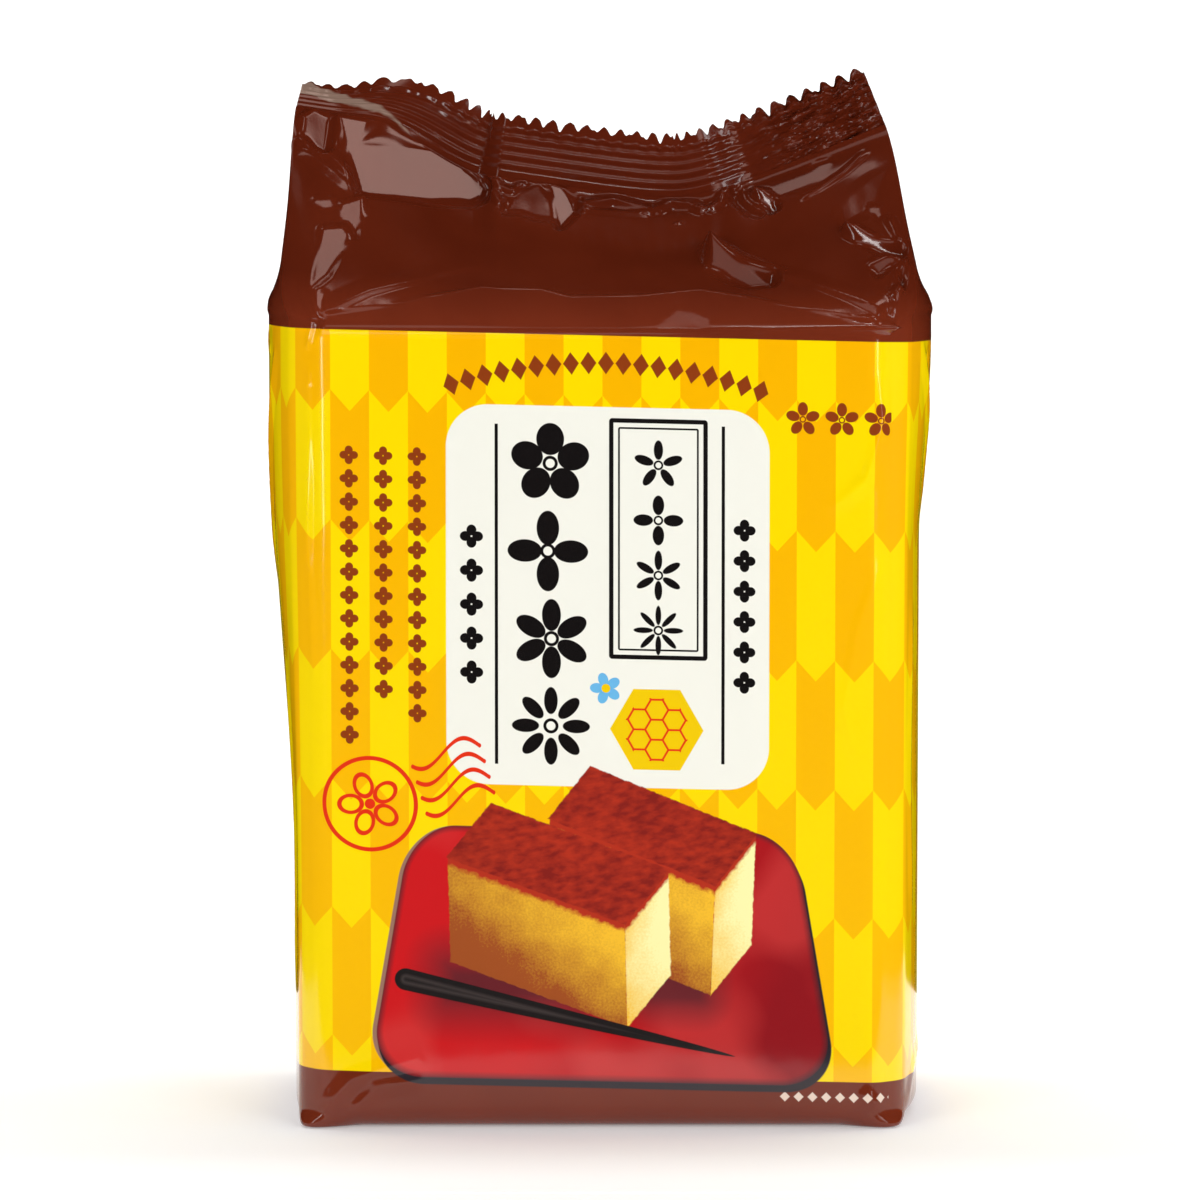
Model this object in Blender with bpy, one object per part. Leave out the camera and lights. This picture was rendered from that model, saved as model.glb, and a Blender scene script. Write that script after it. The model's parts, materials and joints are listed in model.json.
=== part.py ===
"""A shut pack of sliced castella cake: a side-folded bag of printed film, crimped shut along its top.

The tray of cake inside squares the film into a block that stands on its flat base. Above the cake the
empty film leans in from front and back like a gable roof, its two sides tuck in as folded gussets, and
everything meets in one crimped seal with a saw-toothed edge. The seal sags in the middle and leans back
at its left end. The film is one piece, and so is this solid.

X runs across the front panel, Y from the front panel to the back one, and Z up. Lengths are in metres.
The origin is the middle of the base, at the height of the surface that the pack stands on.
"""

import math

import bmesh
import bpy
import numpy as np

# The block: two broad panels, front and back, and two narrow ones at the sides.
PACK_DEPTH = 0.060
PANEL_HALF_WIDTH = 0.0510
CORNER_RADIUS = 0.006
CAKE_TOP = 0.138

# The back seam is a flap of film, folded flat to one side of the middle. It runs up into the top seal,
# and flattens over the last share of the roof.
SEAM_WIDTH = 0.0110
SEAM_STEP = 0.0003
SEAM_THICKNESS = 0.0008
SEAM_FADE = 0.8

# The back panel bulges a little, and the front one as far as the back panel and its seam together.
BACK_BULGE = 0.0010
FRONT_BULGE = BACK_BULGE + SEAM_THICKNESS

# The side panels bulge, and most where the loose film begins, just below the top of the cake.
SIDE_BULGE = {-1: 0.0022, 1: 0.0046}
LOOSE_BULGE = 0.0066
LOOSE_START = {-1: 0.036, 1: 0.098}
LOOSE_HEIGHT = {-1: 0.126, 1: 0.134}

# The edges round the base. At its corners the folded film is less round, and stands out in small ears.
BASE_ROUND_FRONT = 0.004
BASE_ROUND_SIDE = 0.003
EAR_WIDTH = 0.009
EAR_REACH = 0.0018
EAR_HEIGHT = 0.003
EAR_STIFFNESS = 0.8

# The foot of the top seal: lowest right of the middle, from where it climbs to both ends. The left
# end makes most of its climb in one sweep.
SEAL_LOW_X = 0.0125
SEAL_LOW_HEIGHT = 0.1584
SEAL_END_X = {-1: -0.0530, 1: 0.0496}
SEAL_SLOPE = {-1: 0.155, 1: 0.42}
SEAL_BEND = 0.008
SEAL_SWEEP = 0.0062
SEAL_SWEEP_X = (-0.040, -0.020)

# The seal itself: a flat strip with ribs along it, cut off in teeth.
SEAL_HEIGHT = 0.0110
SEAL_THICKNESS = 0.0010
RIB_COUNT = 5
RIB_START = 0.0010
RIB_PITCH = 0.0016
RIB_DEPTH = 0.0003
TOOTH_COUNT = 36
TOOTH_HEIGHT = 0.0013

# The seal leans back at its left end, and two folds cross it from front to back.
LEAN_LEFT = math.radians(62)
LEAN_X = (-0.049, -0.022)
FOLD_LEFT = (-0.0215, -0.0175)
FOLD_RIGHT = (0.0190, 0.0270)
FOLD_OFFSETS = (0.0022, -0.0008, 0.0014)

# How the loose film leaves the cake's edge and runs into the seal.
LEAN_IN = math.radians(30)
ROOF_START_PULL = 0.026
ROOF_END_PULL = 0.016
SPREAD = 0.016

# Above the cake the side film tucks in as a gusset. Its fold runs inward and down, like the seal over it.
GUSSET_DEPTH = 0.020
GUSSET_START = -0.02
GUSSET_FULL = 0.62
GUSSET_DROP = {-1: 0.25, 1: 0.60}

SIDE_STEPS = 8
BODY_HEIGHTS = (0.0, 0.0005, 0.0016, 0.0050, 0.0120, 0.0400, 0.0650, 0.0880, 0.1080, 0.1240, 0.1330)
ROOF_STEPS = (0.0, 0.08, 0.20, 0.34, 0.48, 0.62, 0.76, 0.88)

# The print: brown bands round the foot and the top of the pack, and yellow between them.
LOW_BAND_TOP = 0.0085
HIGH_BAND_FOOT = 0.1345
FILM_YELLOW = (0.93, 0.63, 0.004, 1.0)
FILM_BROWN = (0.095, 0.018, 0.007, 1.0)
FILM_ROUGHNESS = 0.18


def ease(value, start, end):
    """0 up to start, 1 from end on, and a smooth change between them."""
    share = np.clip((value - start) / (end - start), 0.0, 1.0)
    return share * share * (3.0 - 2.0 * share)


def clear_objects():
    for old in list(bpy.data.objects):
        bpy.data.objects.remove(old)


def panel_line(share, half_width, radius):
    """Where a point lies along a panel, and how far it falls back where the corner turns its 45 degrees."""
    flat = half_width - radius
    run = (share - 0.5) * 2.0 * (flat + radius * math.pi / 4)
    turn = np.clip(np.abs(run) - flat, 0.0, None) / radius
    along = np.sign(run) * (np.minimum(np.abs(run), flat) + radius * np.sin(turn))
    return along, radius * (1.0 - np.cos(turn))


def side_bulge(height, side):
    """How far a side panel stands out at its middle: less at the foot, and most where the film is loose."""
    loose = ease(height, LOOSE_START[side], LOOSE_HEIGHT[side])
    return SIDE_BULGE[side] + (LOOSE_BULGE - SIDE_BULGE[side]) * loose


def face_bulge(height, most):
    return most * math.sin(math.pi * min(height / CAKE_TOP, 1.0))


def base_inset(height, radius):
    """How far the wall stands in from its full width, in the quarter round above the base."""
    if height >= radius:
        return 0.0
    return radius - math.sqrt(radius**2 - (radius - height) ** 2)


def seam_shares(count):
    """Shares along the back panel, right to left. The points beside the seam's edges are drawn close to them."""
    shares = np.linspace(0.0, 1.0, count + 1)
    x = PANEL_HALF_WIDTH * (1.0 - 2.0 * shares)
    for edge in (0.0, SEAM_WIDTH):
        inner = np.argmin(np.abs(x - edge))
        step = SEAM_STEP if edge == 0.0 else -SEAM_STEP
        outer = inner + (1 if edge == 0.0 else -1)
        x[inner], x[outer] = edge, edge - step
    return (1.0 - x / PANEL_HALF_WIDTH) / 2.0


def in_seam(x):
    """1 for the points of the back panel under the seam's flap, and 0 for the others."""
    return ((x > -SEAM_STEP / 2) & (x < SEAM_WIDTH + SEAM_STEP / 2)).astype(float)


def front_and_back(height):
    """The front panel left to right, and the back panel right to left, at one height of the block."""
    half, depth = PANEL_HALF_WIDTH, PACK_DEPTH / 2
    rows = []
    for sign, most, shares in (
        (-1, FRONT_BULGE, np.linspace(0.0, 1.0, TOOTH_COUNT + 1)),
        (1, BACK_BULGE, seam_shares(TOOTH_COUNT)),
    ):
        along, fall = panel_line(shares, half, CORNER_RADIUS)
        x = along * -sign
        out = depth - fall + face_bulge(height, most) * (1.0 - (along / half) ** 2)
        if sign == 1:
            out = out + in_seam(x) * SEAM_THICKNESS * ease(height, 0.004, 0.012)
        rows.append(np.stack([x, sign * out, np.full_like(x, height)], axis=1))
    return rows


def side_panel(height, side):
    """The points of a side panel between its two corners, in the order of the ring."""
    along, fall = panel_line(side_shares(), PACK_DEPTH / 2, CORNER_RADIUS)
    x = side * (PANEL_HALF_WIDTH - fall + side_bulge(height, side) * bulge_share(side_shares()))
    return np.stack([x, along * side, np.full_like(x, height)], axis=1)


def side_shares():
    return np.linspace(0.0, 1.0, SIDE_STEPS + 1)[1:-1]


def bulge_share(share):
    """A parabola across a side panel: 1 in its middle, and 0 at its corners."""
    return 1.0 - (2.0 * share - 1.0) ** 2


def gusset_share(share):
    """A fold down the middle of a side panel: 1 in its middle, and 0 at its corners."""
    return (1.0 - np.abs(2.0 * share - 1.0)) ** 1.2


def rounded_foot(ring, height):
    """Draws the ring in where the walls turn under to the base, leaving small ears at the corners."""
    size = np.array([PANEL_HALF_WIDTH, PACK_DEPTH / 2])
    rounds = np.array([base_inset(height, BASE_ROUND_SIDE), base_inset(height, BASE_ROUND_FRONT)])
    corner = ease(np.abs(ring[:, :2]), size - EAR_WIDTH, size).prod(axis=1)[:, None]
    ring[:, :2] *= 1.0 - rounds * (1.0 - EAR_STIFFNESS * corner) / size
    ring[:, :2] += np.sign(ring[:, :2]) * EAR_REACH * corner * (1.0 - ease(height, 0.0, EAR_HEIGHT))
    return ring


def body_ring(height):
    front, back = front_and_back(height)
    ring = np.concatenate([front, side_panel(height, 1), back, side_panel(height, -1)])
    return rounded_foot(ring, height)


def seal_foot(x):
    """The middle of the seal's foot at x. Its height follows the sag, and two folds shift it back and forth."""
    slope = np.where(x < SEAL_LOW_X, SEAL_SLOPE[-1], SEAL_SLOPE[1])
    climb = slope * (np.hypot(x - SEAL_LOW_X, SEAL_BEND) - SEAL_BEND)
    z = SEAL_LOW_HEIGHT + climb + SEAL_SWEEP * (1.0 - ease(x, *SEAL_SWEEP_X))
    left, middle, right = FOLD_OFFSETS
    y = left + (middle - left) * ease(x, *FOLD_LEFT) + (right - middle) * ease(x, *FOLD_RIGHT)
    return np.stack([x, y, z], axis=-1)


def seal_lines(count):
    """Feet, upward directions and backward normals along the seal. The two folds don't turn them."""
    foot = seal_foot(np.linspace(SEAL_END_X[-1], SEAL_END_X[1], count + 1))
    along = np.gradient(foot, axis=0)
    along[:, 1] = 0.0
    along /= np.linalg.norm(along, axis=1, keepdims=True)
    lean = LEAN_LEFT * (1.0 - ease(foot[:, 0], *LEAN_X))
    back = np.zeros_like(foot)
    back[:, 1] = 1.0
    upright = np.cross(along, back)
    up = upright * np.cos(lean)[:, None] + back * np.sin(lean)[:, None]
    return foot, up, np.cross(up, along)


def strip_ring(front, back):
    """A ring whose side panels are shut. Their points lie on the strip's ends, where they are merged later."""
    half = (SIDE_STEPS - 1) // 2

    def end(first, last):
        return np.array([first] * half + [(first + last) / 2] + [last] * half)

    return np.concatenate([front, end(front[-1], back[0]), back, end(back[-1], front[0])])


def seal_ring(reach, rib=0.0):
    """The seal's outline at one distance above its foot. A rib moves both faces: it is pressed through."""
    foot, up, normal = seal_lines(TOOTH_COUNT)
    middle = foot + up * reach + normal * rib
    front = middle - normal * SEAL_THICKNESS / 2
    back = middle + normal * SEAL_THICKNESS / 2
    return strip_ring(front, back[::-1])


def roof_ring(share):
    """The loose film above the cake: smooth curves from the points of the cake's edge to those of the seal."""
    start, end = body_ring(CAKE_TOP), seal_ring(0.0)
    back = slice(TOOTH_COUNT + SIDE_STEPS, 2 * TOOTH_COUNT + SIDE_STEPS + 1)
    flap = in_seam(start[back, 0]) * SEAM_THICKNESS
    start[back, 1] -= flap
    _, up, _ = seal_lines(TOOTH_COUNT)
    end_pull = strip_ring(up, up[::-1]) * ROOF_END_PULL
    inward = -np.sign(start[:, 1]) * np.minimum(np.abs(start[:, 1]) / (PACK_DEPTH / 2), 1.0)
    start_pull = ROOF_START_PULL * np.stack(
        [np.zeros_like(inward), inward * math.sin(LEAN_IN), np.full_like(inward, math.cos(LEAN_IN))],
        axis=1,
    )
    start_pull[:, 0] = SPREAD * start[:, 0] / PANEL_HALF_WIDTH
    ring = (
        start * (2 * share**3 - 3 * share**2 + 1)
        + start_pull * (share**3 - 2 * share**2 + share)
        + end * (3 * share**2 - 2 * share**3)
        + end_pull * (share**3 - share**2)
    )
    ring[back, 1] += flap * (1.0 - ease(share, SEAM_FADE, 1.0))
    tuck = GUSSET_DEPTH * float(ease(share, GUSSET_START, GUSSET_FULL)) * (1.0 - share**4)
    fold = gusset_share(side_shares()) * tuck
    for side, first in ((1, TOOTH_COUNT + 1), (-1, 2 * (TOOTH_COUNT + 1) + len(fold))):
        ring[first : first + len(fold), 0] -= side * fold
        ring[first : first + len(fold), 2] -= fold * GUSSET_DROP[side] * share
    return ring


def tooth_rows():
    """The saw-toothed top edges of the seal, front and back, with a point at each tip and each notch."""
    foot, up, normal = seal_lines(2 * TOOTH_COUNT)
    notch = np.arange(2 * TOOTH_COUNT + 1) % 2 == 0
    reach = SEAL_HEIGHT - notch * TOOTH_HEIGHT
    middle = foot + up * reach[:, None]
    return middle - normal * SEAL_THICKNESS / 2, middle + normal * SEAL_THICKNESS / 2


def all_rings():
    """Every ring of the pack from its base to just under the teeth."""
    rings = [body_ring(height) for height in BODY_HEIGHTS]
    rings += [roof_ring(share) for share in ROOF_STEPS]
    rings.append(seal_ring(0.0))
    for step in range(2 * RIB_COUNT + 1):
        side = 0.0 if step in (0, 2 * RIB_COUNT) else (-1.0 if step % 2 else 1.0)
        rings.append(seal_ring(RIB_START + step * RIB_PITCH / 2, side * RIB_DEPTH))
    return rings


def skin_rings(bm, rings):
    """Walls between each ring and the next."""
    rows = [[bm.verts.new(point) for point in ring] for ring in rings]
    for lower, upper in zip(rows, rows[1:]):
        for i in range(len(lower)):
            j = (i + 1) % len(lower)
            bm.faces.new((lower[i], lower[j], upper[j], upper[i]))
    bm.faces.new(list(reversed(rows[0])))
    return rows[-1]


def skin_teeth(bm, last_row):
    """Carries the front and back of the last ring up to the teeth, and closes the top between them."""
    count = TOOTH_COUNT + 1
    front_low = last_row[:count]
    back_low = last_row[count + SIDE_STEPS - 1 : 2 * count + SIDE_STEPS - 1][::-1]
    front_edge, back_edge = ([bm.verts.new(point) for point in row] for row in tooth_rows())
    for low, edge, turned in ((front_low, front_edge, False), (back_low, back_edge, True)):
        for i in range(TOOTH_COUNT):
            left, tip, right = edge[2 * i : 2 * i + 3]
            fan = ((low[i], tip, left), (low[i], low[i + 1], tip), (low[i + 1], right, tip))
            for face in fan:
                bm.faces.new(face[::-1] if turned else face)
    for i in range(2 * TOOTH_COUNT):
        bm.faces.new((front_edge[i], front_edge[i + 1], back_edge[i + 1], back_edge[i]))
    right_end = last_row[count - 1 : count + SIDE_STEPS]
    bm.faces.new([*right_end, back_edge[-1], front_edge[-1]])
    left_end = [*last_row[2 * count + SIDE_STEPS - 2 :], last_row[0]]
    bm.faces.new([*left_end, front_edge[0], back_edge[0]])


def film_material(name, colour):
    material = bpy.data.materials.new(name)
    material.use_nodes = True
    shader = material.node_tree.nodes["Principled BSDF"]
    shader.inputs["Base Color"].default_value = colour
    shader.inputs["Roughness"].default_value = FILM_ROUGHNESS
    shader.inputs["Metallic"].default_value = 0.0
    return material


def make_pack():
    bm = bmesh.new()
    skin_teeth(bm, skin_rings(bm, all_rings()))
    bmesh.ops.remove_doubles(bm, verts=bm.verts, dist=1e-6)
    bmesh.ops.triangulate(bm, faces=bm.faces)
    for face in bm.faces:
        height = face.calc_center_median().z
        face.material_index = 0 if LOW_BAND_TOP < height < HIGH_BAND_FOOT else 1
    mesh = bpy.data.meshes.new("castella_pack")
    bm.to_mesh(mesh)
    bm.free()
    mesh.materials.append(film_material("film_yellow", FILM_YELLOW))
    mesh.materials.append(film_material("film_brown", FILM_BROWN))
    mesh.shade_smooth()
    mesh.set_sharp_from_angle(angle=math.radians(40))
    return bpy.data.objects.new("castella_pack", mesh)


def main():
    clear_objects()
    parts = bpy.data.collections.new("castella pack")
    bpy.context.scene.collection.children.link(parts)
    parts.objects.link(make_pack())


main()
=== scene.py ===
# %% [markdown]
# # A sealed pack of sliced castella cake
# Castella is a sponge cake of eggs, sugar, flour and honey. It is sold sliced, on a tray inside a bag of
# glossy printed film. The cake squares the film into a block, and above the cake the empty film leans
# in like a roof to one crimped seal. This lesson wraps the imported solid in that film: a fine skin with
# its creases, crimped strips made by Geometry Nodes, and a print drawn by shader nodes alone.

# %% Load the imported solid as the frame
import math
import bpy
import numpy as np
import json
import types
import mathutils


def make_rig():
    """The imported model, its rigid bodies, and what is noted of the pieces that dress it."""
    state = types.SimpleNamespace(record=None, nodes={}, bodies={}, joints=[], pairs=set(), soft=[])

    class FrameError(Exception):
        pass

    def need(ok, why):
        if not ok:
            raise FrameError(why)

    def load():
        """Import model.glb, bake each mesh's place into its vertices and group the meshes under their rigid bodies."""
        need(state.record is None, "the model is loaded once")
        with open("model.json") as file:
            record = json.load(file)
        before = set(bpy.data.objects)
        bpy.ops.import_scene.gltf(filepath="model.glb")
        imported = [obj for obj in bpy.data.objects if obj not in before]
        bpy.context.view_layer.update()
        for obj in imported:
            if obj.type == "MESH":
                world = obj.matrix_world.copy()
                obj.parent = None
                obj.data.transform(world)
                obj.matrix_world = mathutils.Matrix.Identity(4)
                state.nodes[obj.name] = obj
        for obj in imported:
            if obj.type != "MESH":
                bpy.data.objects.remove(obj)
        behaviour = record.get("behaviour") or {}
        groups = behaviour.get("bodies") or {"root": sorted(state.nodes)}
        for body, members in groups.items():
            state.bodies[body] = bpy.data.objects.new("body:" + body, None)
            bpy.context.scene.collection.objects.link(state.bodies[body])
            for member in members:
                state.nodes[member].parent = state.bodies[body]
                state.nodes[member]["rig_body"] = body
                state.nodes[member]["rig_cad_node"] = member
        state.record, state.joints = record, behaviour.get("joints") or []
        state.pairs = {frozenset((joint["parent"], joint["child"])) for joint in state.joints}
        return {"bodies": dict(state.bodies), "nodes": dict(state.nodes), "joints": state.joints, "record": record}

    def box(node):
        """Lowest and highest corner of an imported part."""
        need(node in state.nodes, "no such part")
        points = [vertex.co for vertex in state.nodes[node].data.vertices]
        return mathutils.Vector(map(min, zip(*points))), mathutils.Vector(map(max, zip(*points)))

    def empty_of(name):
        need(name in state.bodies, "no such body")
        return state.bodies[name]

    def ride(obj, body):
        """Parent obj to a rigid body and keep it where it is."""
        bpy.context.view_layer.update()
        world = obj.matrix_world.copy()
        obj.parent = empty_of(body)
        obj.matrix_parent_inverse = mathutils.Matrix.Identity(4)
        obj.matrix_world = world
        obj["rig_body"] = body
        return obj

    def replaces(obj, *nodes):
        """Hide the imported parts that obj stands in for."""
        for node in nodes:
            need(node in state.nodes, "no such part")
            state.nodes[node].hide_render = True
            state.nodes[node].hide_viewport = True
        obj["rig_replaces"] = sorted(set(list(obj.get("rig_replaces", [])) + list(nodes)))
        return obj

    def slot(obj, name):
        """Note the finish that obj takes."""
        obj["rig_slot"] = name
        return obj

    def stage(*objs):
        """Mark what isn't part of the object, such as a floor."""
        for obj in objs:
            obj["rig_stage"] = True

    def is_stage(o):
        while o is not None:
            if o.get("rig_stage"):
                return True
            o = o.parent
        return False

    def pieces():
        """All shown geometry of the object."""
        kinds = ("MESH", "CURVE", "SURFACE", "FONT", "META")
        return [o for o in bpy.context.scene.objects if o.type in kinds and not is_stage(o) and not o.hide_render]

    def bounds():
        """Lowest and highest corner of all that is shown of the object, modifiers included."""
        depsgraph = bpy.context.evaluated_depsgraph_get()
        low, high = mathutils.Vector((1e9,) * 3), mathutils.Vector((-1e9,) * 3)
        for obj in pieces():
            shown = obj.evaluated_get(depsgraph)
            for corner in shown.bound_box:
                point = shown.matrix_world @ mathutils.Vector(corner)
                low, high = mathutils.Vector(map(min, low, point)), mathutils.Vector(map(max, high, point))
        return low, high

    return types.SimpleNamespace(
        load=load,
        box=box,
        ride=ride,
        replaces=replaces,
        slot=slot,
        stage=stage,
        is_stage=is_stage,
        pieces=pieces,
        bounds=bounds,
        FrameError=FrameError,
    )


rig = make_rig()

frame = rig.load()
CAD_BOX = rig.bounds()
PACK = "castella_pack"
print("nodes:", sorted(frame["nodes"]), "box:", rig.box(PACK))

# %% [markdown]
# ## The sizes of the pack
# X runs across the front panel, Y from the front panel to the back one, and Z up. The film follows the
# solid's own rules, so the values that shape it are repeated here. Lengths are in metres.

# %% Sizes of the block, the roof and the top seal
PACK_DEPTH = 0.060
PANEL_HALF_WIDTH = 0.0510
CORNER_RADIUS = 0.006
CAKE_TOP = 0.138
BACK_BULGE = 0.0010
FRONT_BULGE = 0.0018
SIDE_BULGE = {-1: 0.0022, 1: 0.0046}
LOOSE_BULGE = 0.0066
LOOSE_START = {-1: 0.036, 1: 0.098}
LOOSE_HEIGHT = {-1: 0.126, 1: 0.134}
BASE_ROUND_FRONT = 0.004
BASE_ROUND_SIDE = 0.003
EAR_WIDTH = 0.009
EAR_REACH = 0.0018
EAR_HEIGHT = 0.003
EAR_STIFFNESS = 0.8
SEAL_LOW_X = 0.0125
SEAL_LOW_HEIGHT = 0.1584
SEAL_END_X = {-1: -0.0530, 1: 0.0496}
SEAL_SLOPE = {-1: 0.155, 1: 0.42}
SEAL_BEND = 0.008
SEAL_SWEEP = 0.0062
SEAL_SWEEP_X = (-0.040, -0.020)
SEAL_HEIGHT = 0.0110
SEAL_THICKNESS = 0.0010
RIB_COUNT = 5
RIB_START = 0.0010
RIB_PITCH = 0.0016
TOOTH_COUNT = 36
TOOTH_HEIGHT = 0.0013
LEAN_LEFT = math.radians(62)
LEAN_X = (-0.049, -0.022)
FOLD_LEFT = (-0.0215, -0.0175)
FOLD_RIGHT = (0.0190, 0.0270)
FOLD_OFFSETS = (0.0022, -0.0008, 0.0014)
LEAN_IN = math.radians(30)
ROOF_START_PULL = 0.026
ROOF_END_PULL = 0.016
SPREAD = 0.016
GUSSET_DEPTH = 0.020
GUSSET_START = -0.02
GUSSET_FULL = 0.62
GUSSET_DROP = {-1: 0.25, 1: 0.60}
SEAM_WIDTH = 0.0110

# %% [markdown]
# ## One surface for all the film
# The film is one sheet, so it is worked out as one grid of points: rings round the pack, from the base
# up to the top seal. Its rows lie half a millimetre apart, close enough for sharp little creases. The
# grid is cut into pieces only at the end, and they share their edges and normals, so no joint shows.

# %% Ways to ease from one value to another, and to round a panel's corners
def ease(value, start, end):
    share = np.clip((value - start) / (end - start), 0.0, 1.0)
    return share * share * (3.0 - 2.0 * share)


def panel_line(share, half_width):
    """Where a point lies along a panel, how far it falls back at a corner, and its run along the film."""
    flat = half_width - CORNER_RADIUS
    run = (share - 0.5) * 2.0 * (flat + CORNER_RADIUS * math.pi / 4)
    turn = np.clip(np.abs(run) - flat, 0.0, None) / CORNER_RADIUS
    along = np.sign(run) * (np.minimum(np.abs(run), flat) + CORNER_RADIUS * np.sin(turn))
    return along, CORNER_RADIUS * (1.0 - np.cos(turn)), run


# %% Columns of the grid, all the way round
BROAD_STEPS, NARROW_STEPS = 300, 116
broad = np.linspace(0.0, 1.0, BROAD_STEPS + 1)
narrow = np.linspace(0.0, 1.0, NARROW_STEPS + 1)[1:-1]
FRONT = np.arange(BROAD_STEPS + 1)
RIGHT = np.arange(FRONT[-1], FRONT[-1] + NARROW_STEPS + 1)
BACK = np.arange(RIGHT[-1], RIGHT[-1] + BROAD_STEPS + 1)
LEFT = np.append(np.arange(BACK[-1], BACK[-1] + NARROW_STEPS), 0)
print("columns round the pack:", LEFT[-2] + 1)


# %% The block's walls at any height
def broad_wall(height, sign):
    along, fall, _ = panel_line(broad, PANEL_HALF_WIDTH)
    most = FRONT_BULGE if sign < 0 else BACK_BULGE
    bulge = most * np.sin(np.pi * np.minimum(height / CAKE_TOP, 1.0))
    out = PACK_DEPTH / 2 - fall + bulge * (1.0 - (along / PANEL_HALF_WIDTH) ** 2)
    return np.stack(np.broadcast_arrays(-sign * along, sign * out, height), axis=-1)


def narrow_wall(height, side):
    along, fall, _ = panel_line(narrow, PACK_DEPTH / 2)
    loose = ease(height, LOOSE_START[side], LOOSE_HEIGHT[side])
    bulge = SIDE_BULGE[side] + (LOOSE_BULGE - SIDE_BULGE[side]) * loose
    x = PANEL_HALF_WIDTH - fall + bulge * (1.0 - (2.0 * narrow - 1.0) ** 2)
    return np.stack(np.broadcast_arrays(side * x, side * along, height), axis=-1)


def inset(height, radius):
    below = np.clip(radius - height, 0.0, radius)
    return radius - np.sqrt(radius**2 - below**2)


def body(height):
    """Rings of the block, one for each height in a column of heights, with the round foot and its ears."""
    walls = [broad_wall(height, -1), narrow_wall(height, 1), broad_wall(height, 1), narrow_wall(height, -1)]
    rings = np.concatenate(walls, axis=1)
    size = np.array([PANEL_HALF_WIDTH, PACK_DEPTH / 2])
    rounds = np.stack([inset(height, BASE_ROUND_SIDE), inset(height, BASE_ROUND_FRONT)], axis=-1)
    corner = ease(np.abs(rings[..., :2]), size - EAR_WIDTH, size).prod(axis=-1, keepdims=True)
    rings[..., :2] *= 1.0 - rounds * (1.0 - EAR_STIFFNESS * corner) / size
    ears = EAR_REACH * corner * (1.0 - ease(height, 0.0, EAR_HEIGHT))[..., None]
    rings[..., :2] += np.sign(rings[..., :2]) * ears
    return rings


# %% The line of the top seal's foot
def seal_foot(x):
    slope = np.where(x < SEAL_LOW_X, SEAL_SLOPE[-1], SEAL_SLOPE[1])
    climb = slope * (np.hypot(x - SEAL_LOW_X, SEAL_BEND) - SEAL_BEND)
    z = SEAL_LOW_HEIGHT + climb + SEAL_SWEEP * (1.0 - ease(x, *SEAL_SWEEP_X))
    left, middle, right = FOLD_OFFSETS
    y = left + (middle - left) * ease(x, *FOLD_LEFT) + (right - middle) * ease(x, *FOLD_RIGHT)
    return np.stack([x, y, z], axis=-1)


def seal_lines(count):
    """Feet, upward directions and backward normals along the seal, from left to right."""
    foot = seal_foot(np.linspace(SEAL_END_X[-1], SEAL_END_X[1], count + 1))
    along = np.gradient(foot, axis=0)
    along[:, 1] = 0.0
    along /= np.linalg.norm(along, axis=1, keepdims=True)
    lean = LEAN_LEFT * (1.0 - ease(foot[:, 0], *LEAN_X))[:, None]
    back = np.zeros_like(foot)
    back[:, 1] = 1.0
    up = np.cross(along, back) * np.cos(lean) + back * np.sin(lean)
    return foot, up, np.cross(up, along)


# %% The roof of loose film, from the cake's edge to the seal's foot
def round_strip(front, back):
    """A ring round a flat strip: its front, its end, its back and its other end."""
    share = narrow[:, None]
    right_end = front[-1] + (back[-1] - front[-1]) * share
    left_end = back[0] + (front[0] - back[0]) * share
    return np.concatenate([front, right_end, back[::-1], left_end])


def roof(share):
    """Rings of the roof, one for each share of the way up in a column of shares."""
    start = body(np.array([[CAKE_TOP]]))[0]
    foot, up, normal = seal_lines(BROAD_STEPS)
    end = round_strip(foot - normal * SEAL_THICKNESS / 2, foot + normal * SEAL_THICKNESS / 2)
    inward = -np.sign(start[:, 1]) * np.minimum(np.abs(start[:, 1]) / (PACK_DEPTH / 2), 1.0)
    start_pull = np.stack([SPREAD * start[:, 0] / PANEL_HALF_WIDTH,
                           ROOF_START_PULL * math.sin(LEAN_IN) * inward,
                           np.full_like(inward, ROOF_START_PULL * math.cos(LEAN_IN))], axis=-1)
    share = share[..., None]
    rings = (start * (2 * share**3 - 3 * share**2 + 1)
             + start_pull * (share**3 - 2 * share**2 + share)
             + end * (3 * share**2 - 2 * share**3)
             + round_strip(up, up) * ROOF_END_PULL * (share**3 - share**2))
    tuck = GUSSET_DEPTH * ease(share[..., 0], GUSSET_START, GUSSET_FULL) * (1.0 - share[..., 0] ** 4)
    fold = tuck * (1.0 - np.abs(2.0 * narrow - 1.0)) ** 1.2
    for side, columns in ((1, RIGHT[1:-1]), (-1, LEFT[1:-1])):
        rings[:, columns, 0] -= side * fold
        rings[:, columns, 2] -= fold * GUSSET_DROP[side] * share[..., 0]
    return rings


# %% Put the rows together
foot_rows = BASE_ROUND_FRONT * (1.0 - np.cos(np.linspace(0.0, math.pi / 2, 13)))
heights = np.concatenate([foot_rows, np.linspace(BASE_ROUND_FRONT, CAKE_TOP, 260)[1:]])
ROOF_ROWS = 150
roof_shares = np.linspace(0.0, 1.0, ROOF_ROWS + 1)[1:]
smooth_film = np.concatenate([body(heights[:, None]), roof(roof_shares[:, None])])
BODY_ROWS = len(heights)
print("film grid:", smooth_film.shape[:2], "points")


# %% [markdown]
# ## Where the print lies on the film
# The print is drawn in millimetres on the flat film: "across" from the middle of the front, round the
# sides to the seam at the back, and "up" from the base. The film went through the machine a little
# askew, so the print climbs a little to the right. Both numbers are kept in a UV map.

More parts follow.
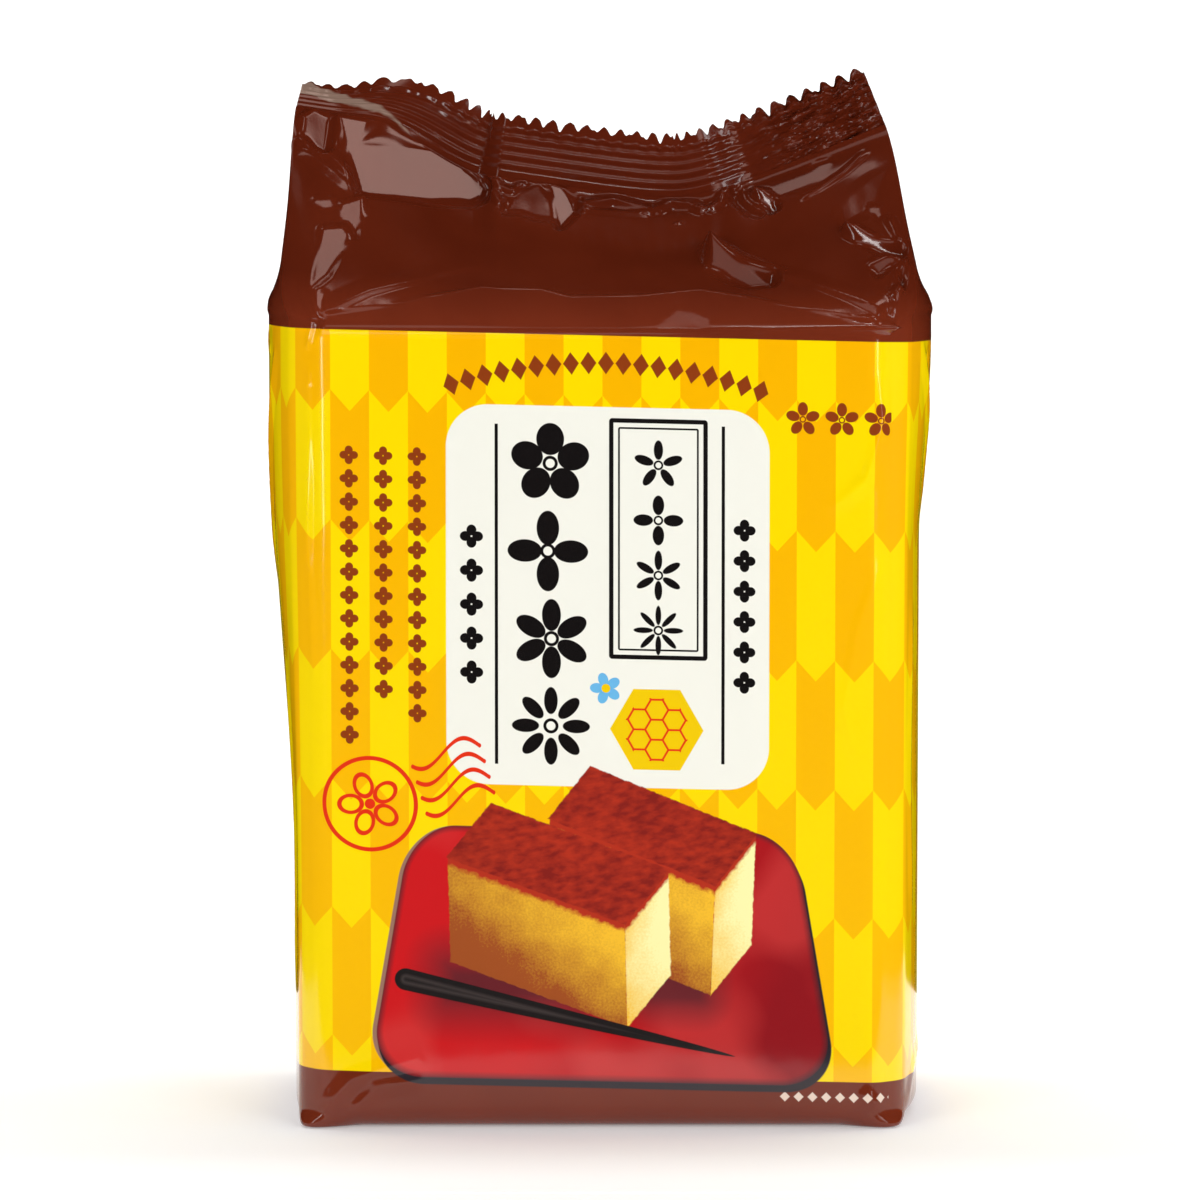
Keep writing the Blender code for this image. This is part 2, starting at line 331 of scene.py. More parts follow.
# %% Measure the film round and up
PRINT_SKEW = 0.0235
MM = 0.001
broad_run = panel_line(broad, PANEL_HALF_WIDTH)[2]
narrow_run = panel_line(np.linspace(0.0, 1.0, NARROW_STEPS + 1), PACK_DEPTH / 2)[2]
half_broad, half_narrow = broad_run[-1], narrow_run[-1]
FILM_GIRTH = 4 * (half_broad + half_narrow)
across_right = half_broad + half_narrow + narrow_run
across_back = FILM_GIRTH / 2 + broad_run
past_seam = broad_run > -SEAM_WIDTH / 2
FILM_ACROSS = {"front": broad_run, "right": across_right, "left": -across_right[::-1],
               "back": np.where(past_seam, across_back - FILM_GIRTH, across_back)}
steps_up = np.linalg.norm(np.diff(smooth_film, axis=0), axis=-1)
film_up = np.concatenate([heights, CAKE_TOP + np.cumsum(steps_up[BODY_ROWS - 1 :, BROAD_STEPS // 2])])
print("film round the pack: %.0f mm, up it: %.0f mm" % (FILM_GIRTH / MM, film_up[-1] / MM))

# %% [markdown]
# ## Creases
# Stiff film doesn't drape like cloth: it stays nearly flat and breaks into facets along straight ridges.
# Each crease is a polyline on the film with a height and two widths, and its cross-section is a low
# tent, so that the light changes sharply along the ridge. A short list is given, and small
# puckers under the seal are scattered by rule.

# %% Normals of the grid, smooth all the way round
def grid_normals(places):
    round_again = np.concatenate([places, places[:, :1]], axis=1)
    low_left, low_right = round_again[:-1, :-1], round_again[:-1, 1:]
    high_left, high_right = round_again[1:, :-1], round_again[1:, 1:]
    faces = np.cross(high_right - low_left, high_left - low_right)
    total = np.zeros_like(places)
    for row in (slice(None, -1), slice(1, None)):
        total[row] += faces
        total[row] += np.roll(faces, 1, axis=1)
    length = np.linalg.norm(total, axis=-1, keepdims=True)
    return total / np.maximum(length, 1e-12)


# %% One crease: a low tent along a line on the film
smooth_normals = grid_normals(smooth_film)


def on_panel(columns, side, height):
    """The place on a panel with that sideways and upward position, as seen square on."""
    panel = smooth_film[:, columns]
    sideways = panel[..., 0] if columns is FRONT or columns is BACK else panel[..., 1]
    miss = (sideways - side) ** 2 + (panel[..., 2] - height) ** 2
    row, column = np.unravel_index(np.argmin(miss), miss.shape)
    return panel[row, column]


def crease(columns, line, height, widths, fade=4.0):
    """The relief of a crease, in millimetres. Widths are those of its left and right slopes."""
    points = [on_panel(columns, side * MM, up * MM) for side, up in line]
    lengths = [np.linalg.norm(b - a) for a, b in zip(points, points[1:])]
    whole = sum(lengths)
    near = np.arange(columns[0] - 40, columns[0] + len(columns) + 40) % smooth_film.shape[1]
    places, normals = smooth_film[:, near], smooth_normals[:, near]
    relief = np.zeros(smooth_film.shape[:2])
    best = np.zeros(places.shape[:2])
    run = 0.0
    for start, end, length in zip(points, points[1:], lengths):
        reach = places - start
        direction = (end - start) / length
        share = np.clip(reach @ direction, 0.0, length)
        away = reach - share[..., None] * direction
        distance = np.linalg.norm(away, axis=-1)
        left = np.einsum("...k,...k", np.cross(direction, away), normals) > 0
        width = np.where(left, widths[0], widths[1]) * MM
        along = run + share
        taper = np.clip(np.minimum(along, whole - along) / (fade * MM), 0.0, 1.0) ** 0.7
        here = np.clip(1.0 - np.sqrt(distance**2 + 0.00015**2) / width, 0.0, 1.0) * taper * height
        best = np.where(np.abs(here) > np.abs(best), here, best)
        run += length
    relief[:, near] = best
    return relief


# %% One facet: a flat place in the film, with sharp edges
def outside(outline, side, up):
    """How far points lie outside an outline, 0 inside it."""
    distance = np.full(side.shape, 1e9)
    within = np.zeros(side.shape, dtype=bool)
    for (x1, z1), (x2, z2) in zip(outline, outline[1:] + outline[:1]):
        share = ((side - x1) * (x2 - x1) + (up - z1) * (z2 - z1)) / ((x2 - x1) ** 2 + (z2 - z1) ** 2)
        share = np.clip(share, 0.0, 1.0)
        distance = np.minimum(distance, np.hypot(side - x1 - share * (x2 - x1), up - z1 - share * (z2 - z1)))
        crosses = (z1 > up) != (z2 > up)
        within ^= crosses & (side < (x2 - x1) * (up - z1) / (z2 - z1 + 1e-9) + x1)
    return np.where(within, 0.0, distance)


def facet(places, outline, rise, turn, fall):
    """Flattens the front film inside an outline, so that it faces this many degrees up and to the right."""
    panel = smooth_film[:, FRONT]
    share = np.clip(1.0 - outside(outline, panel[..., 0] / MM, panel[..., 2] / MM) / fall, 0.0, 1.0)
    centre = on_panel(FRONT, *(np.mean(outline, axis=0) * MM))
    rise, turn = math.radians(rise), math.radians(turn)
    facing = np.array([math.sin(turn) * math.cos(rise), -math.cos(turn) * math.cos(rise), math.sin(rise)])
    normals = smooth_normals[:, FRONT]
    gap = (centre - places[:, FRONT]) @ facing / np.maximum(normals @ facing, 0.2)
    places[:, FRONT] += normals * (gap * share * near_seal(0.975))[..., None]


# %% The creases: (sideways, up) in millimetres, height, widths, fade
FRONT_CREASES = [
    # the left hip: two ridges from the film's edge down to the end of the patch
    ([(-52.7, 169.0), (-46.7, 165.2), (-41.1, 160.1)], 0.8, (3.0, 1.2), 3.0),
    ([(-51.2, 166.6), (-45.5, 162.6), (-41.7, 159.1)], 0.4, (1.2, 2.0), 3.0),
    ([(-41.1, 160.1), (-34.7, 159.5), (-28.9, 158.4), (-22.6, 158.1)], 0.35, (2.0, 1.2), 2.0),
    # long creases from the left corner
    ([(-47.2, 138.6), (-44.1, 140.2), (-39.0, 142.4), (-30.0, 144.5), (-20.4, 146.8)], 0.30, (3.0, 1.0), 8.0),
    # the right corner
    ([(49.3, 155.3), (53.0, 148.8)], 0.6, (1.5, 1.3), 2.0),
    ([(18.7, 150.0), (23.4, 147.6), (28.9, 145.6), (38.0, 143.0), (48.0, 139.0)], 0.45, (3.0, 1.3), 3.0),
    ([(49.0, 141.4), (51.1, 142.8)], 0.7, (1.4, 1.2), 0.8),
    ([(52.6, 148.0), (50.6, 143.6), (50.4, 139.0), (52.0, 136.4)], 0.7, (2.0, 1.6), 2.0),
    ([(34.0, 157.6), (38.0, 159.6), (42.0, 162.4), (46.6, 166.6)], 0.35, (1.2, 1.0), 2.0),
    # the bright line over the cake's front edge
    ([(23.8, 136.9), (29.0, 135.8), (37.0, 136.2), (45.0, 137.0), (48.2, 136.0), (53.0, 136.0)], 0.45, (1.8, 1.4), 3.0),
    # puckers under the seal, left to right
    ([(-20.4, 161.5), (-16.8, 156.6)], 0.8, (1.5, 1.0), 1.0),
    ([(-18.6, 162.4), (-17.2, 160.0), (-15.2, 159.2), (-12.4, 161.8)], 0.7, (1.1, 1.2), 1.0),
    ([(-4.4, 156.2), (-2.2, 157.2), (2.4, 157.8), (9.2, 155.9), (12.2, 157.4), (16.0, 156.9), (18.4, 155.7)],
     0.75, (1.6, 1.6), 1.0),
    ([(-4.2, 156.2), (4.0, 155.6), (9.2, 155.3)], 0.4, (1.0, 1.2), 1.0),
    ([(18.4, 155.7), (20.8, 157.2), (21.6, 160.2), (22.8, 158.6)], 0.8, (1.3, 1.3), 1.0),
    ([(23.2, 161.0), (23.8, 157.6), (26.0, 155.6), (28.6, 155.2)], -0.8, (1.5, 1.5), 1.5),
    ([(13.0, 154.0), (14.0, 153.6)], 0.5, (1.2, 1.2), 0.5),
    # gentle creases down the front panel, near its edges
    ([(-51.4, 132.0), (-52.8, 122.6), (-52.6, 110.0), (-52.0, 94.0)], 0.32, (1.0, 1.8), 8.0),
    ([(-49.0, 120.0), (-50.0, 98.0), (-48.5, 76.0)], 0.35, (1.2, 3.5), 14.0),
    ([(47.0, 128.6), (47.6, 121.0), (45.2, 111.0), (38.4, 105.6)], 0.45, (2.2, 1.4), 7.0),
    ([(47.4, 97.0), (43.5, 86.0), (41.0, 72.0), (44.0, 60.0)], 0.25, (3.0, 1.2), 10.0),
    ([(-48.0, 2.5), (-42.5, 8.4), (-30.0, 13.0)], 0.35, (2.0, 3.0), 4.0),
    ([(-44.0, 1.5), (-38.0, 7.0), (-30.0, 8.6)], 0.30, (1.6, 2.4), 3.0),
    ([(48.0, 3.0), (44.5, 6.5)], 0.4, (1.4, 1.6), 2.0),
]

# %% The facets: outline, degrees up, degrees to the right, slope round it
FRONT_FACETS = [
    # the film over the cake's front edge, up to the long crease
    ([(-46.5, 136.1), (-46.0, 138.6), (-35.0, 140.0), (-29.0, 141.4), (-20.3, 142.4), (-10.0, 142.2), (-5.0, 141.2),
      (6.8, 141.3), (17.0, 142.0), (24.0, 141.3), (35.0, 139.3), (49.0, 136.4), (30.0, 136.2), (0.0, 135.9)],
     31.0, 0.0, 0.7),
    # the broad patch under the leaning end of the seal, and one beyond it
    ([(-45.3, 171.3), (-40.7, 171.0), (-42.0, 167.5), (-37.4, 167.3), (-28.8, 166.1), (-25.7, 165.0),
      (-23.5, 162.4), (-20.4, 160.1), (-20.8, 159.0), (-22.6, 158.2), (-28.9, 158.5), (-34.7, 159.6),
      (-40.8, 160.2), (-43.4, 167.0)], 35.0, 23.0, 2.0),
    ([(-51.4, 171.6), (-49.9, 172.6), (-47.3, 171.8), (-47.4, 167.0), (-49.1, 167.6), (-51.2, 169.6)],
     32.5, 22.5, 1.5),
    # the crumpled corner of the cake, and the film below it
    ([(-50.2, 137.0), (-49.3, 137.2), (-49.6, 134.6), (-50.4, 134.4)], 8.0, -17.0, 0.6),
    ([(-48.6, 137.6), (-47.6, 137.2), (-48.3, 134.6), (-49.2, 133.4), (-49.4, 134.0)], 8.0, -17.0, 0.6),
    ([(-54.2, 133.9), (-52.8, 133.4), (-52.9, 132.6), (-53.8, 132.9)], 8.0, -17.0, 0.6),
    ([(-52.4, 132.0), (-51.6, 132.4), (-51.5, 128.8), (-52.6, 129.6)], 8.0, -17.0, 0.6),
    ([(-54.0, 126.6), (-53.5, 126.0), (-52.9, 122.8), (-53.4, 123.2)], 5.0, -17.0, 0.5),
    # down the hip to the corner of the cake
    ([(-44.1, 157.0), (-40.9, 157.8), (-40.8, 155.3), (-42.0, 152.1), (-43.3, 152.4), (-44.0, 154.1)],
     36.0, 5.5, 1.2),
    ([(-47.2, 152.7), (-43.8, 153.0), (-42.8, 151.8), (-46.4, 145.5), (-48.7, 143.6), (-47.5, 148.8)],
     36.0, 5.5, 1.3),
    ([(-48.6, 157.8), (-46.0, 157.9), (-46.1, 156.7), (-47.3, 156.5)], 36.0, 5.5, 1.0),
    ([(-47.7, 142.6), (-46.7, 142.1), (-47.3, 139.2), (-47.8, 140.1)], 36.0, 5.5, 1.0),
    # under the middle of the seal
    ([(-16.1, 156.5), (-13.7, 158.9), (-10.6, 160.4), (-9.4, 158.0), (-7.6, 155.2), (-11.0, 155.6),
      (-13.7, 156.5)], 37.5, 4.0, 1.5),
    ([(-8.7, 160.7), (-7.3, 160.7), (-4.2, 156.4), (-6.8, 154.1)], 36.0, 21.0, 1.5),
    # the right side
    ([(19.2, 149.0), (23.4, 147.0), (28.9, 145.0), (25.3, 144.7), (22.2, 145.5), (19.2, 147.0)], 27.0, 1.0, 2.0),
    ([(41.3, 156.4), (45.8, 160.4), (50.0, 163.3), (47.8, 158.8), (45.4, 156.0), (41.9, 154.5)], 44.0, -17.0, 1.6),
    ([(46.6, 156.4), (48.3, 156.4), (47.6, 154.9)], 41.0, -19.0, 1.0),
    ([(46.2, 146.8), (49.1, 148.2), (50.3, 147.8), (47.2, 145.7)], 27.0, 2.0, 1.2),
    ([(42.4, 152.4), (44.0, 152.3), (47.9, 150.6), (53.0, 149.0), (47.9, 149.7), (44.0, 151.2)], 22.5, 1.7, 1.3),
    ([(30.4, 159.4), (33.5, 160.4), (36.5, 162.0), (38.2, 163.8), (39.7, 164.2), (38.8, 162.2), (35.0, 160.2),
      (31.2, 158.8)], 41.2, -19.0, 1.2),
    ([(27.2, 159.0), (28.6, 158.8), (30.3, 157.0), (29.5, 156.5)], 22.0, 3.0, 1.2),
    # a small tent over the cake's front edge
    ([(10.2, 136.4), (13.2, 139.3), (14.2, 138.6), (17.2, 136.6)], 28.0, 2.0, 1.4),
    # by the right edge, above the cake's corner
    ([(51.0, 146.0), (52.6, 147.6), (53.2, 144.6), (51.6, 143.3)], 27.0, 3.0, 1.0),
]


def scatter(columns, left, right, low, high, count, seed, height=0.3, length=2.0):
    """Small creases at random places in a rectangle of a panel, lying every way."""
    dice = np.random.default_rng(seed)
    for _ in range(count):
        side, up, turn = dice.uniform(left, right), dice.uniform(low, high), dice.uniform(0.0, math.pi)
        reach = length * dice.uniform(0.6, 1.4)
        line = [(side, up), (side + reach * math.cos(turn), up + reach * math.sin(turn))]
        yield columns, line, height * dice.uniform(-0.6, 1.0), (0.9, 0.9), reach * 0.5


# the other sides are creased in the same ways: long soft lines down the walls, and puckers under the seal
OTHER_CREASES = [
    (BACK, [(46.0, 133.0), (47.5, 118.0), (44.0, 96.0)], 0.45, (1.6, 3.0), 8.0),
    (BACK, [(-48.0, 128.0), (-46.5, 104.0), (-48.0, 84.0)], 0.40, (3.0, 1.4), 9.0),
    (BACK, [(-44.0, 60.0), (-47.0, 34.0), (-45.0, 12.0)], 0.35, (2.6, 1.6), 9.0),
    (BACK, [(48.0, 3.0), (42.0, 9.0), (30.0, 13.0)], 0.35, (2.0, 3.0), 4.0),
    (BACK, [(-40.0, 141.0), (-24.0, 145.0), (-12.0, 144.0)], 0.40, (1.2, 3.5), 6.0),
    (BACK, [(40.0, 140.0), (26.0, 143.5), (12.0, 142.0)], 0.40, (3.5, 1.2), 6.0),
    (BACK, [(-44.0, 152.0), (-34.0, 158.0), (-22.0, 160.0)], 0.6, (1.5, 3.0), 4.0),
    (BACK, [(44.0, 150.0), (34.0, 157.0), (24.0, 158.5)], 0.6, (3.0, 1.5), 4.0),
    (BACK, [(-8.0, 160.0), (-5.0, 152.0)], 0.7, (1.6, 3.0), 3.0),
    (BACK, [(20.0, 160.0), (16.0, 153.0)], 0.7, (3.0, 1.6), 3.0),
    (RIGHT, [(-18.0, 134.0), (-6.0, 120.0), (2.0, 100.0)], 0.5, (1.4, 4.0), 8.0),
    (RIGHT, [(16.0, 132.0), (8.0, 118.0), (4.0, 96.0)], 0.5, (4.0, 1.4), 8.0),
    (RIGHT, [(-20.0, 90.0), (-22.0, 60.0), (-19.0, 34.0)], 0.3, (2.0, 3.0), 10.0),
    (RIGHT, [(12.0, 84.0), (19.0, 52.0), (16.0, 24.0)], 0.3, (3.0, 2.0), 10.0),
    (RIGHT, [(-24.0, 3.0), (-16.0, 9.0), (-4.0, 12.0)], 0.35, (2.0, 3.0), 4.0),
    (LEFT, [(18.0, 134.0), (7.0, 121.0), (0.0, 98.0)], 0.5, (1.4, 4.0), 8.0),
    (LEFT, [(-16.0, 133.0), (-8.0, 117.0), (-3.0, 92.0)], 0.5, (4.0, 1.4), 8.0),
    (LEFT, [(20.0, 86.0), (22.0, 58.0), (18.0, 30.0)], 0.3, (2.0, 3.0), 10.0),
    (LEFT, [(-14.0, 80.0), (-20.0, 50.0), (-16.0, 20.0)], 0.3, (3.0, 2.0), 10.0),
    (LEFT, [(24.0, 3.0), (16.0, 9.0), (4.0, 12.0)], 0.35, (2.0, 3.0), 4.0),
    *scatter(FRONT, -51.2, -48.6, 124.0, 131.5, 16, 1, 0.22, 1.2),
    *scatter(FRONT, -18.0, 20.0, 154.5, 158.5, 10, 2, 0.35, 2.2),
    *scatter(FRONT, 48.5, 52.0, 136.0, 147.0, 7, 3, 0.4, 2.0),
    *scatter(BACK, -22.0, 22.0, 152.0, 159.0, 12, 4, 0.5, 3.0),
    *scatter(BACK, -50.0, -46.0, 126.0, 140.0, 8, 5, 0.4, 2.5),
    *scatter(BACK, 46.0, 50.0, 126.0, 140.0, 8, 6, 0.4, 2.5),
    *scatter(RIGHT, -22.0, 22.0, 128.0, 140.0, 9, 7, 0.4, 4.0),
    *scatter(LEFT, -22.0, 22.0, 128.0, 140.0, 9, 8, 0.4, 4.0),
]


def all_creases():
    relief = np.zeros(smooth_film.shape[:2])
    for columns, line, height, widths, fade in [(FRONT, *values) for values in FRONT_CREASES] + OTHER_CREASES:
        relief += crease(columns, line, height, widths, fade)
    return relief


def near_seal(start=0.95):
    """1 over most of the film, and 0 at the foot of the seal, where the film is held."""
    keep = np.ones(len(film_up))
    keep[BODY_ROWS:] = 1.0 - ease(roof_shares, start, 1.0)
    return keep[:, None]


film = smooth_film + smooth_normals * (all_creases() * near_seal() * MM)[..., None]
for outline, rise, turn, fall in FRONT_FACETS:
    facet(film, outline, rise, turn, fall)
film[..., 2] = np.maximum(film[..., 2], 0.0)
film_normals = grid_normals(film)
print("creases:", len(FRONT_CREASES) + len(OTHER_CREASES), "facets:", len(FRONT_FACETS))

# %% [markdown]
# ## Writing shader and geometry nodes as sums
# A print of many shapes needs hundreds of Math nodes. A wire stands for one node output: a sum written
# with wires adds the Math nodes for it. The same wires serve shader groups and Geometry Nodes.

# %% Wires and groups
def join(tree, plug, value):
    if isinstance(value, Wire):
        tree.links.new(value.socket, plug)
    else:
        plug.default_value = value


def maths(tree, operation, *values, clamp=False):
    node = tree.nodes.new("ShaderNodeMath")
    node.operation = operation
    node.use_clamp = clamp
    for plug, value in zip(node.inputs, values):
        join(tree, plug, value)
    return Wire(tree, node.outputs[0])


class Wire:
    """A number that flows from a node of a tree."""

    def __init__(self, tree, socket):
        self.tree, self.socket = tree, socket

    def on(self, operation, *others, clamp=False):
        return maths(self.tree, operation, self, *others, clamp=clamp)

    def __add__(self, other):
        return self.on("ADD", other)

    __radd__ = __add__

    def __sub__(self, other):
        return self.on("SUBTRACT", other)

    def __rsub__(self, other):
        return maths(self.tree, "SUBTRACT", other, self)

    def __mul__(self, other):
        return self.on("MULTIPLY", other)

    __rmul__ = __mul__

    def __truediv__(self, other):
        return self.on("DIVIDE", other)

    def __rtruediv__(self, other):
        return maths(self.tree, "DIVIDE", other, self)

    def __pow__(self, other):
        return self.on("POWER", other)

    def __abs__(self):
        return self.on("ABSOLUTE")

    def inside(self, softness=0.06):
        """1 where this distance is negative, 0 where it is positive, with a narrow soft edge."""
        return self.on("MULTIPLY_ADD", -1.0 / softness, 0.5, clamp=True)


def smallest(first, *others):
    for other in others:
        first = first.on("MINIMUM", other)
    return first


def length_of(a, b):
    return (a * a + b * b).on("SQRT")


def shader_group(*outputs, **inputs):
    """Turns a rule on wires into a shader node group with named inputs and outputs."""

    def build(rule):
        name = rule.__name__.replace("_", " ")
        tree = bpy.data.node_groups.new(name, "ShaderNodeTree")
        for label, start in inputs.items():
            words = label.replace("_", " ").capitalize()
            plug = tree.interface.new_socket(words, in_out="INPUT", socket_type="NodeSocketFloat")
            plug.default_value = start
        for label in outputs:
            tree.interface.new_socket(label, in_out="OUTPUT", socket_type="NodeSocketFloat")
        source, sink = tree.nodes.new("NodeGroupInput"), tree.nodes.new("NodeGroupOutput")
        results = rule(*(Wire(tree, source.outputs[i]) for i in range(len(inputs))))
        results = results if isinstance(results, tuple) else (results,)
        for plug, result in zip(sink.inputs, results):
            join(tree, plug, result)
        return tree

    return build


def place(tree, group, across, up, **sizes):
    """Puts a group in a tree, on these coordinates and with these sizes, and returns its outputs."""
    node = tree.nodes.new("ShaderNodeGroup")
    node.node_tree = group
    join(tree, node.inputs[0], across)
    join(tree, node.inputs[1], up)
    for label, value in sizes.items():
        join(tree, node.inputs[label.replace("_", " ").capitalize()], value)
    results = tuple(Wire(tree, socket) for socket in node.outputs)
    return results if len(results) > 1 else results[0]


# %% [markdown]
# ## Shapes of the print
# Each shape is a group that gives the distance to its edge, in millimetres: negative inside. A distance
# makes crisp ink, a soft shadow or an outline, so one group serves for all three.

# %% Panels, rings and hexagons
@shader_group("Distance", across=0, up=0, centre_across=0, centre_up=0, half_width=10, half_height=10, corner=1)
def rounded_panel(across, up, centre_across, centre_up, half_width, half_height, corner):
    out_across = abs(across - centre_across) - half_width + corner
    out_up = abs(up - centre_up) - half_height + corner
    outside = length_of(out_across.on("MAXIMUM", 0.0), out_up.on("MAXIMUM", 0.0))
    return outside + out_across.on("MAXIMUM", out_up).on("MINIMUM", 0.0) - corner


@shader_group("Distance", across=0, up=0, centre_across=0, centre_up=0, radius=5)
def disc(across, up, centre_across, centre_up, radius):
    return length_of(across - centre_across, up - centre_up) - radius


@shader_group("Distance", across=0, up=0, centre_across=0, centre_up=0, half_height=5)
def hexagon(across, up, centre_across, centre_up, half_height):
    out_across, out_up = abs(across - centre_across), abs(up - centre_up)
    return (out_across * 0.866 + out_up * 0.5).on("MAXIMUM", out_up) - half_height


@shader_group("Distance", across=0, up=0, centre_across=0, centre_up=0, pitch=2)
def honeycomb(across, up, centre_across, centre_up, pitch):
    """How far it is to the nearest wall between cells, from the two rows of cell centres."""
    near = []
    for shift in (0.0, 0.5):
        along = ((across - centre_across) / (pitch * 1.732) + shift).on("WRAP", 0.5, -0.5) * pitch * 1.732
        rise = ((up - centre_up) / pitch + shift).on("WRAP", 0.5, -0.5) * pitch
        out_across, out_up = abs(along), abs(rise)
        near.append((out_across * 0.866 + out_up * 0.5).on("MAXIMUM", out_up))
    return pitch * 0.5 - smallest(*near)


# %% Flowers: petals round a middle
@shader_group("Distance", "Heart", across=0, up=0, centre_across=0, centre_up=0,
              petals=5, reach=4, length=2.5, width=2, turn=0)
def flower(across, up, centre_across, centre_up, petals, reach, length, width, turn):
    """Petals are ellipses whose middles lie on a circle. They are drawn once, and folded round."""
    side, rise = across - centre_across, up - centre_up
    radius = length_of(side, rise)
    sector = 2.0 * math.pi / petals
    angle = (maths(side.tree, "ARCTAN2", side, rise) + turn).on("WRAP", sector * 0.5, sector * -0.5)
    out = (radius * angle.on("COSINE") - reach) / length
    round_it = radius * angle.on("SINE") / width
    return (length_of(out, round_it) - 1.0) * width.on("MINIMUM", length), radius


# %% Rows of small marks, waves and slabs
@shader_group("Distance", across=0, up=0, centre_across=0, first_up=0, pitch=4, count=5, petals=4, size=1.6)
def flower_column(across, up, centre_across, first_up, pitch, count, petals, size):
    """Small flowers one under another, from the first one down."""
    step = (first_up - up) / pitch
    number = (step + 0.5).on("FLOOR").on("MAXIMUM", 0.0).on("MINIMUM", count - 1.0)
    local = (step - number) * pitch
    return place(across.tree, flower, across - centre_across, local, petals=petals,
                 reach=size * 0.52, length=size * 0.46, width=size * 0.42)[0]


@shader_group("Distance", across=0, up=0, centre_across=0, centre_up=0, radius=80,
              pitch=3, count=15, half_width=1.2, half_height=1.7)
def diamond_arc(across, up, centre_across, centre_up, radius, pitch, count, half_width, half_height):
    """Upright diamonds along an arc that bends down at both ends. The centre is the arc's highest point."""
    side = across - centre_across
    rise = up - centre_up + radius
    angle = maths(side.tree, "ARCTAN2", side, rise)
    step = angle * radius / pitch
    limit = (count - 1.0) * 0.5
    number = (step + 0.5).on("FLOOR").on("MINIMUM", limit).on("MAXIMUM", limit * -1.0)
    out = abs(step - number) * pitch / half_width + abs(length_of(side, rise) - radius) / half_height
    return (out - 1.0) * half_width * 0.8


@shader_group("Distance", across=0, up=0, start_across=0, middle_up=0, width=11, swing=2, climb=0.2, stroke=0.6)
def wave_stroke(across, up, start_across, middle_up, width, swing, climb, stroke):
    """One long S-shaped stroke."""
    share = (across - start_across) / width
    held = share.on("MAXIMUM", 0.0).on("MINIMUM", 1.0)
    middle = middle_up + (held * 5.6 + 3.8).on("SINE") * swing + held * width * climb
    sideways = (share - held) * width
    return length_of(sideways, (up - middle) * 0.8) - stroke * 0.5


@shader_group("Along", "Down", "Distance", across=0, up=0, corner_across=0, corner_up=0,
              long_across=10, long_up=0, short_across=0, short_up=-5)
def slab(across, up, corner_across, corner_up, long_across, long_up, short_across, short_up):
    """A face with parallel sides: shares along its two sides from a corner, and the distance to its edge."""
    side, rise = across - corner_across, up - corner_up
    area = long_across * short_up - long_up * short_across
    along = (side * short_up - rise * short_across) / area
    down = (rise * long_across - side * long_up) / area
    past_along = (abs(along - 0.5) - 0.5) * abs(area) / length_of(short_across, short_up)
    past_down = (abs(down - 0.5) - 0.5) * abs(area) / length_of(long_across, long_up)
    return along, down, past_along.on("MAXIMUM", past_down)


# %% Arrow feathers, a traditional pattern
@shader_group("Dark", across=0, up=0, pitch=6.56, column_start=-45.5, row_height=21.96, row_start=125.0, tip=3.6)
def arrow_feathers(across, up, pitch, column_start, row_height, row_start, tip):
    """Columns of long bars with pointed ends. Light and dark bars take turns both ways."""
    column = (across - column_start) / pitch
    middle = 1.0 - abs(column.on("FRACT") * 2.0 - 1.0)
    row = (up - row_start + middle * tip) / row_height
    turn = ((column.on("FLOOR") + row.on("FLOOR")) * 0.5).on("FRACT")
    return abs(turn).on("GREATER_THAN", 0.25)

# %% [markdown]
# ## Inks, and how they lie on the film
# The inks are named once. A colour is given as it should look, from 0 to 255, and turned into the linear
# values that shaders work with. The film lies over white ink, so the yellow and the orange stay clean.

# %% Inks
def ink(red, green, blue, strength=1.0):
    shares = (level / 255.0 for level in (red, green, blue))
    linear = (s / 12.92 if s <= 0.04045 else ((s + 0.055) / 1.055) ** 2.4 for s in shares)
    return (*(level * strength for level in linear), 1.0)


YELLOW = ink(246, 213, 0)
ORANGE = ink(242, 172, 0)
SKY_BLUE = ink(104, 178, 224)
IVORY = ink(226, 206, 190)
TAN = ink(142, 118, 104)
BROWN = ink(84, 27, 11)
# painted light: the brown as it looks where the film stands upright in full light
BROWN_PAINTED_LIGHT = ink(112, 42, 22)
WHITE = ink(237, 236, 225)
BLACK = ink(22, 19, 19)
RED = ink(222, 48, 20)
TEXT_BROWN = ink(138, 58, 20)
GOLD = ink(236, 196, 4)
PLATE_RED = ink(198, 26, 30)
PLATE_DARK = ink(112, 22, 30)
PLATE_LIGHT = ink(206, 60, 58)
RIM_DARK = ink(44, 38, 44)
RIM_LIGHT = ink(150, 112, 96)
CRUST = ink(176, 50, 31)
CRUST_DARK = ink(130, 34, 28)
CRUMB_LIGHT = ink(247, 240, 170)
CRUMB = ink(240, 186, 48)
CRUMB_SHADE = ink(156, 78, 36)
PICK = ink(34, 30, 30)


# %% Colours laid over each other, and speckle
def lay(tree, below, colour, share):
    """Lays a colour over another one where the share is 1."""
    node = tree.nodes.new("ShaderNodeMix")
    node.data_type = "RGBA"
    join(tree, node.inputs[0], share)
    join(tree, node.inputs[6], below)
    join(tree, node.inputs[7], colour)
    return Wire(tree, node.outputs[2])


def speckle(tree, across, up, size, detail=2.0, seed=0.0):
    """Noise whose blotches have this size in millimetres."""
    joined = tree.nodes.new("ShaderNodeCombineXYZ")
    join(tree, joined.inputs[0], across + seed * 37.0)
    join(tree, joined.inputs[1], up)
    noise = tree.nodes.new("ShaderNodeTexNoise")
    noise.noise_dimensions = "2D"
    noise.inputs["Scale"].default_value = 1.0 / size
    noise.inputs["Detail"].default_value = detail
    tree.links.new(joined.outputs[0], noise.inputs["Vector"])
    return Wire(tree, noise.outputs["Fac"])


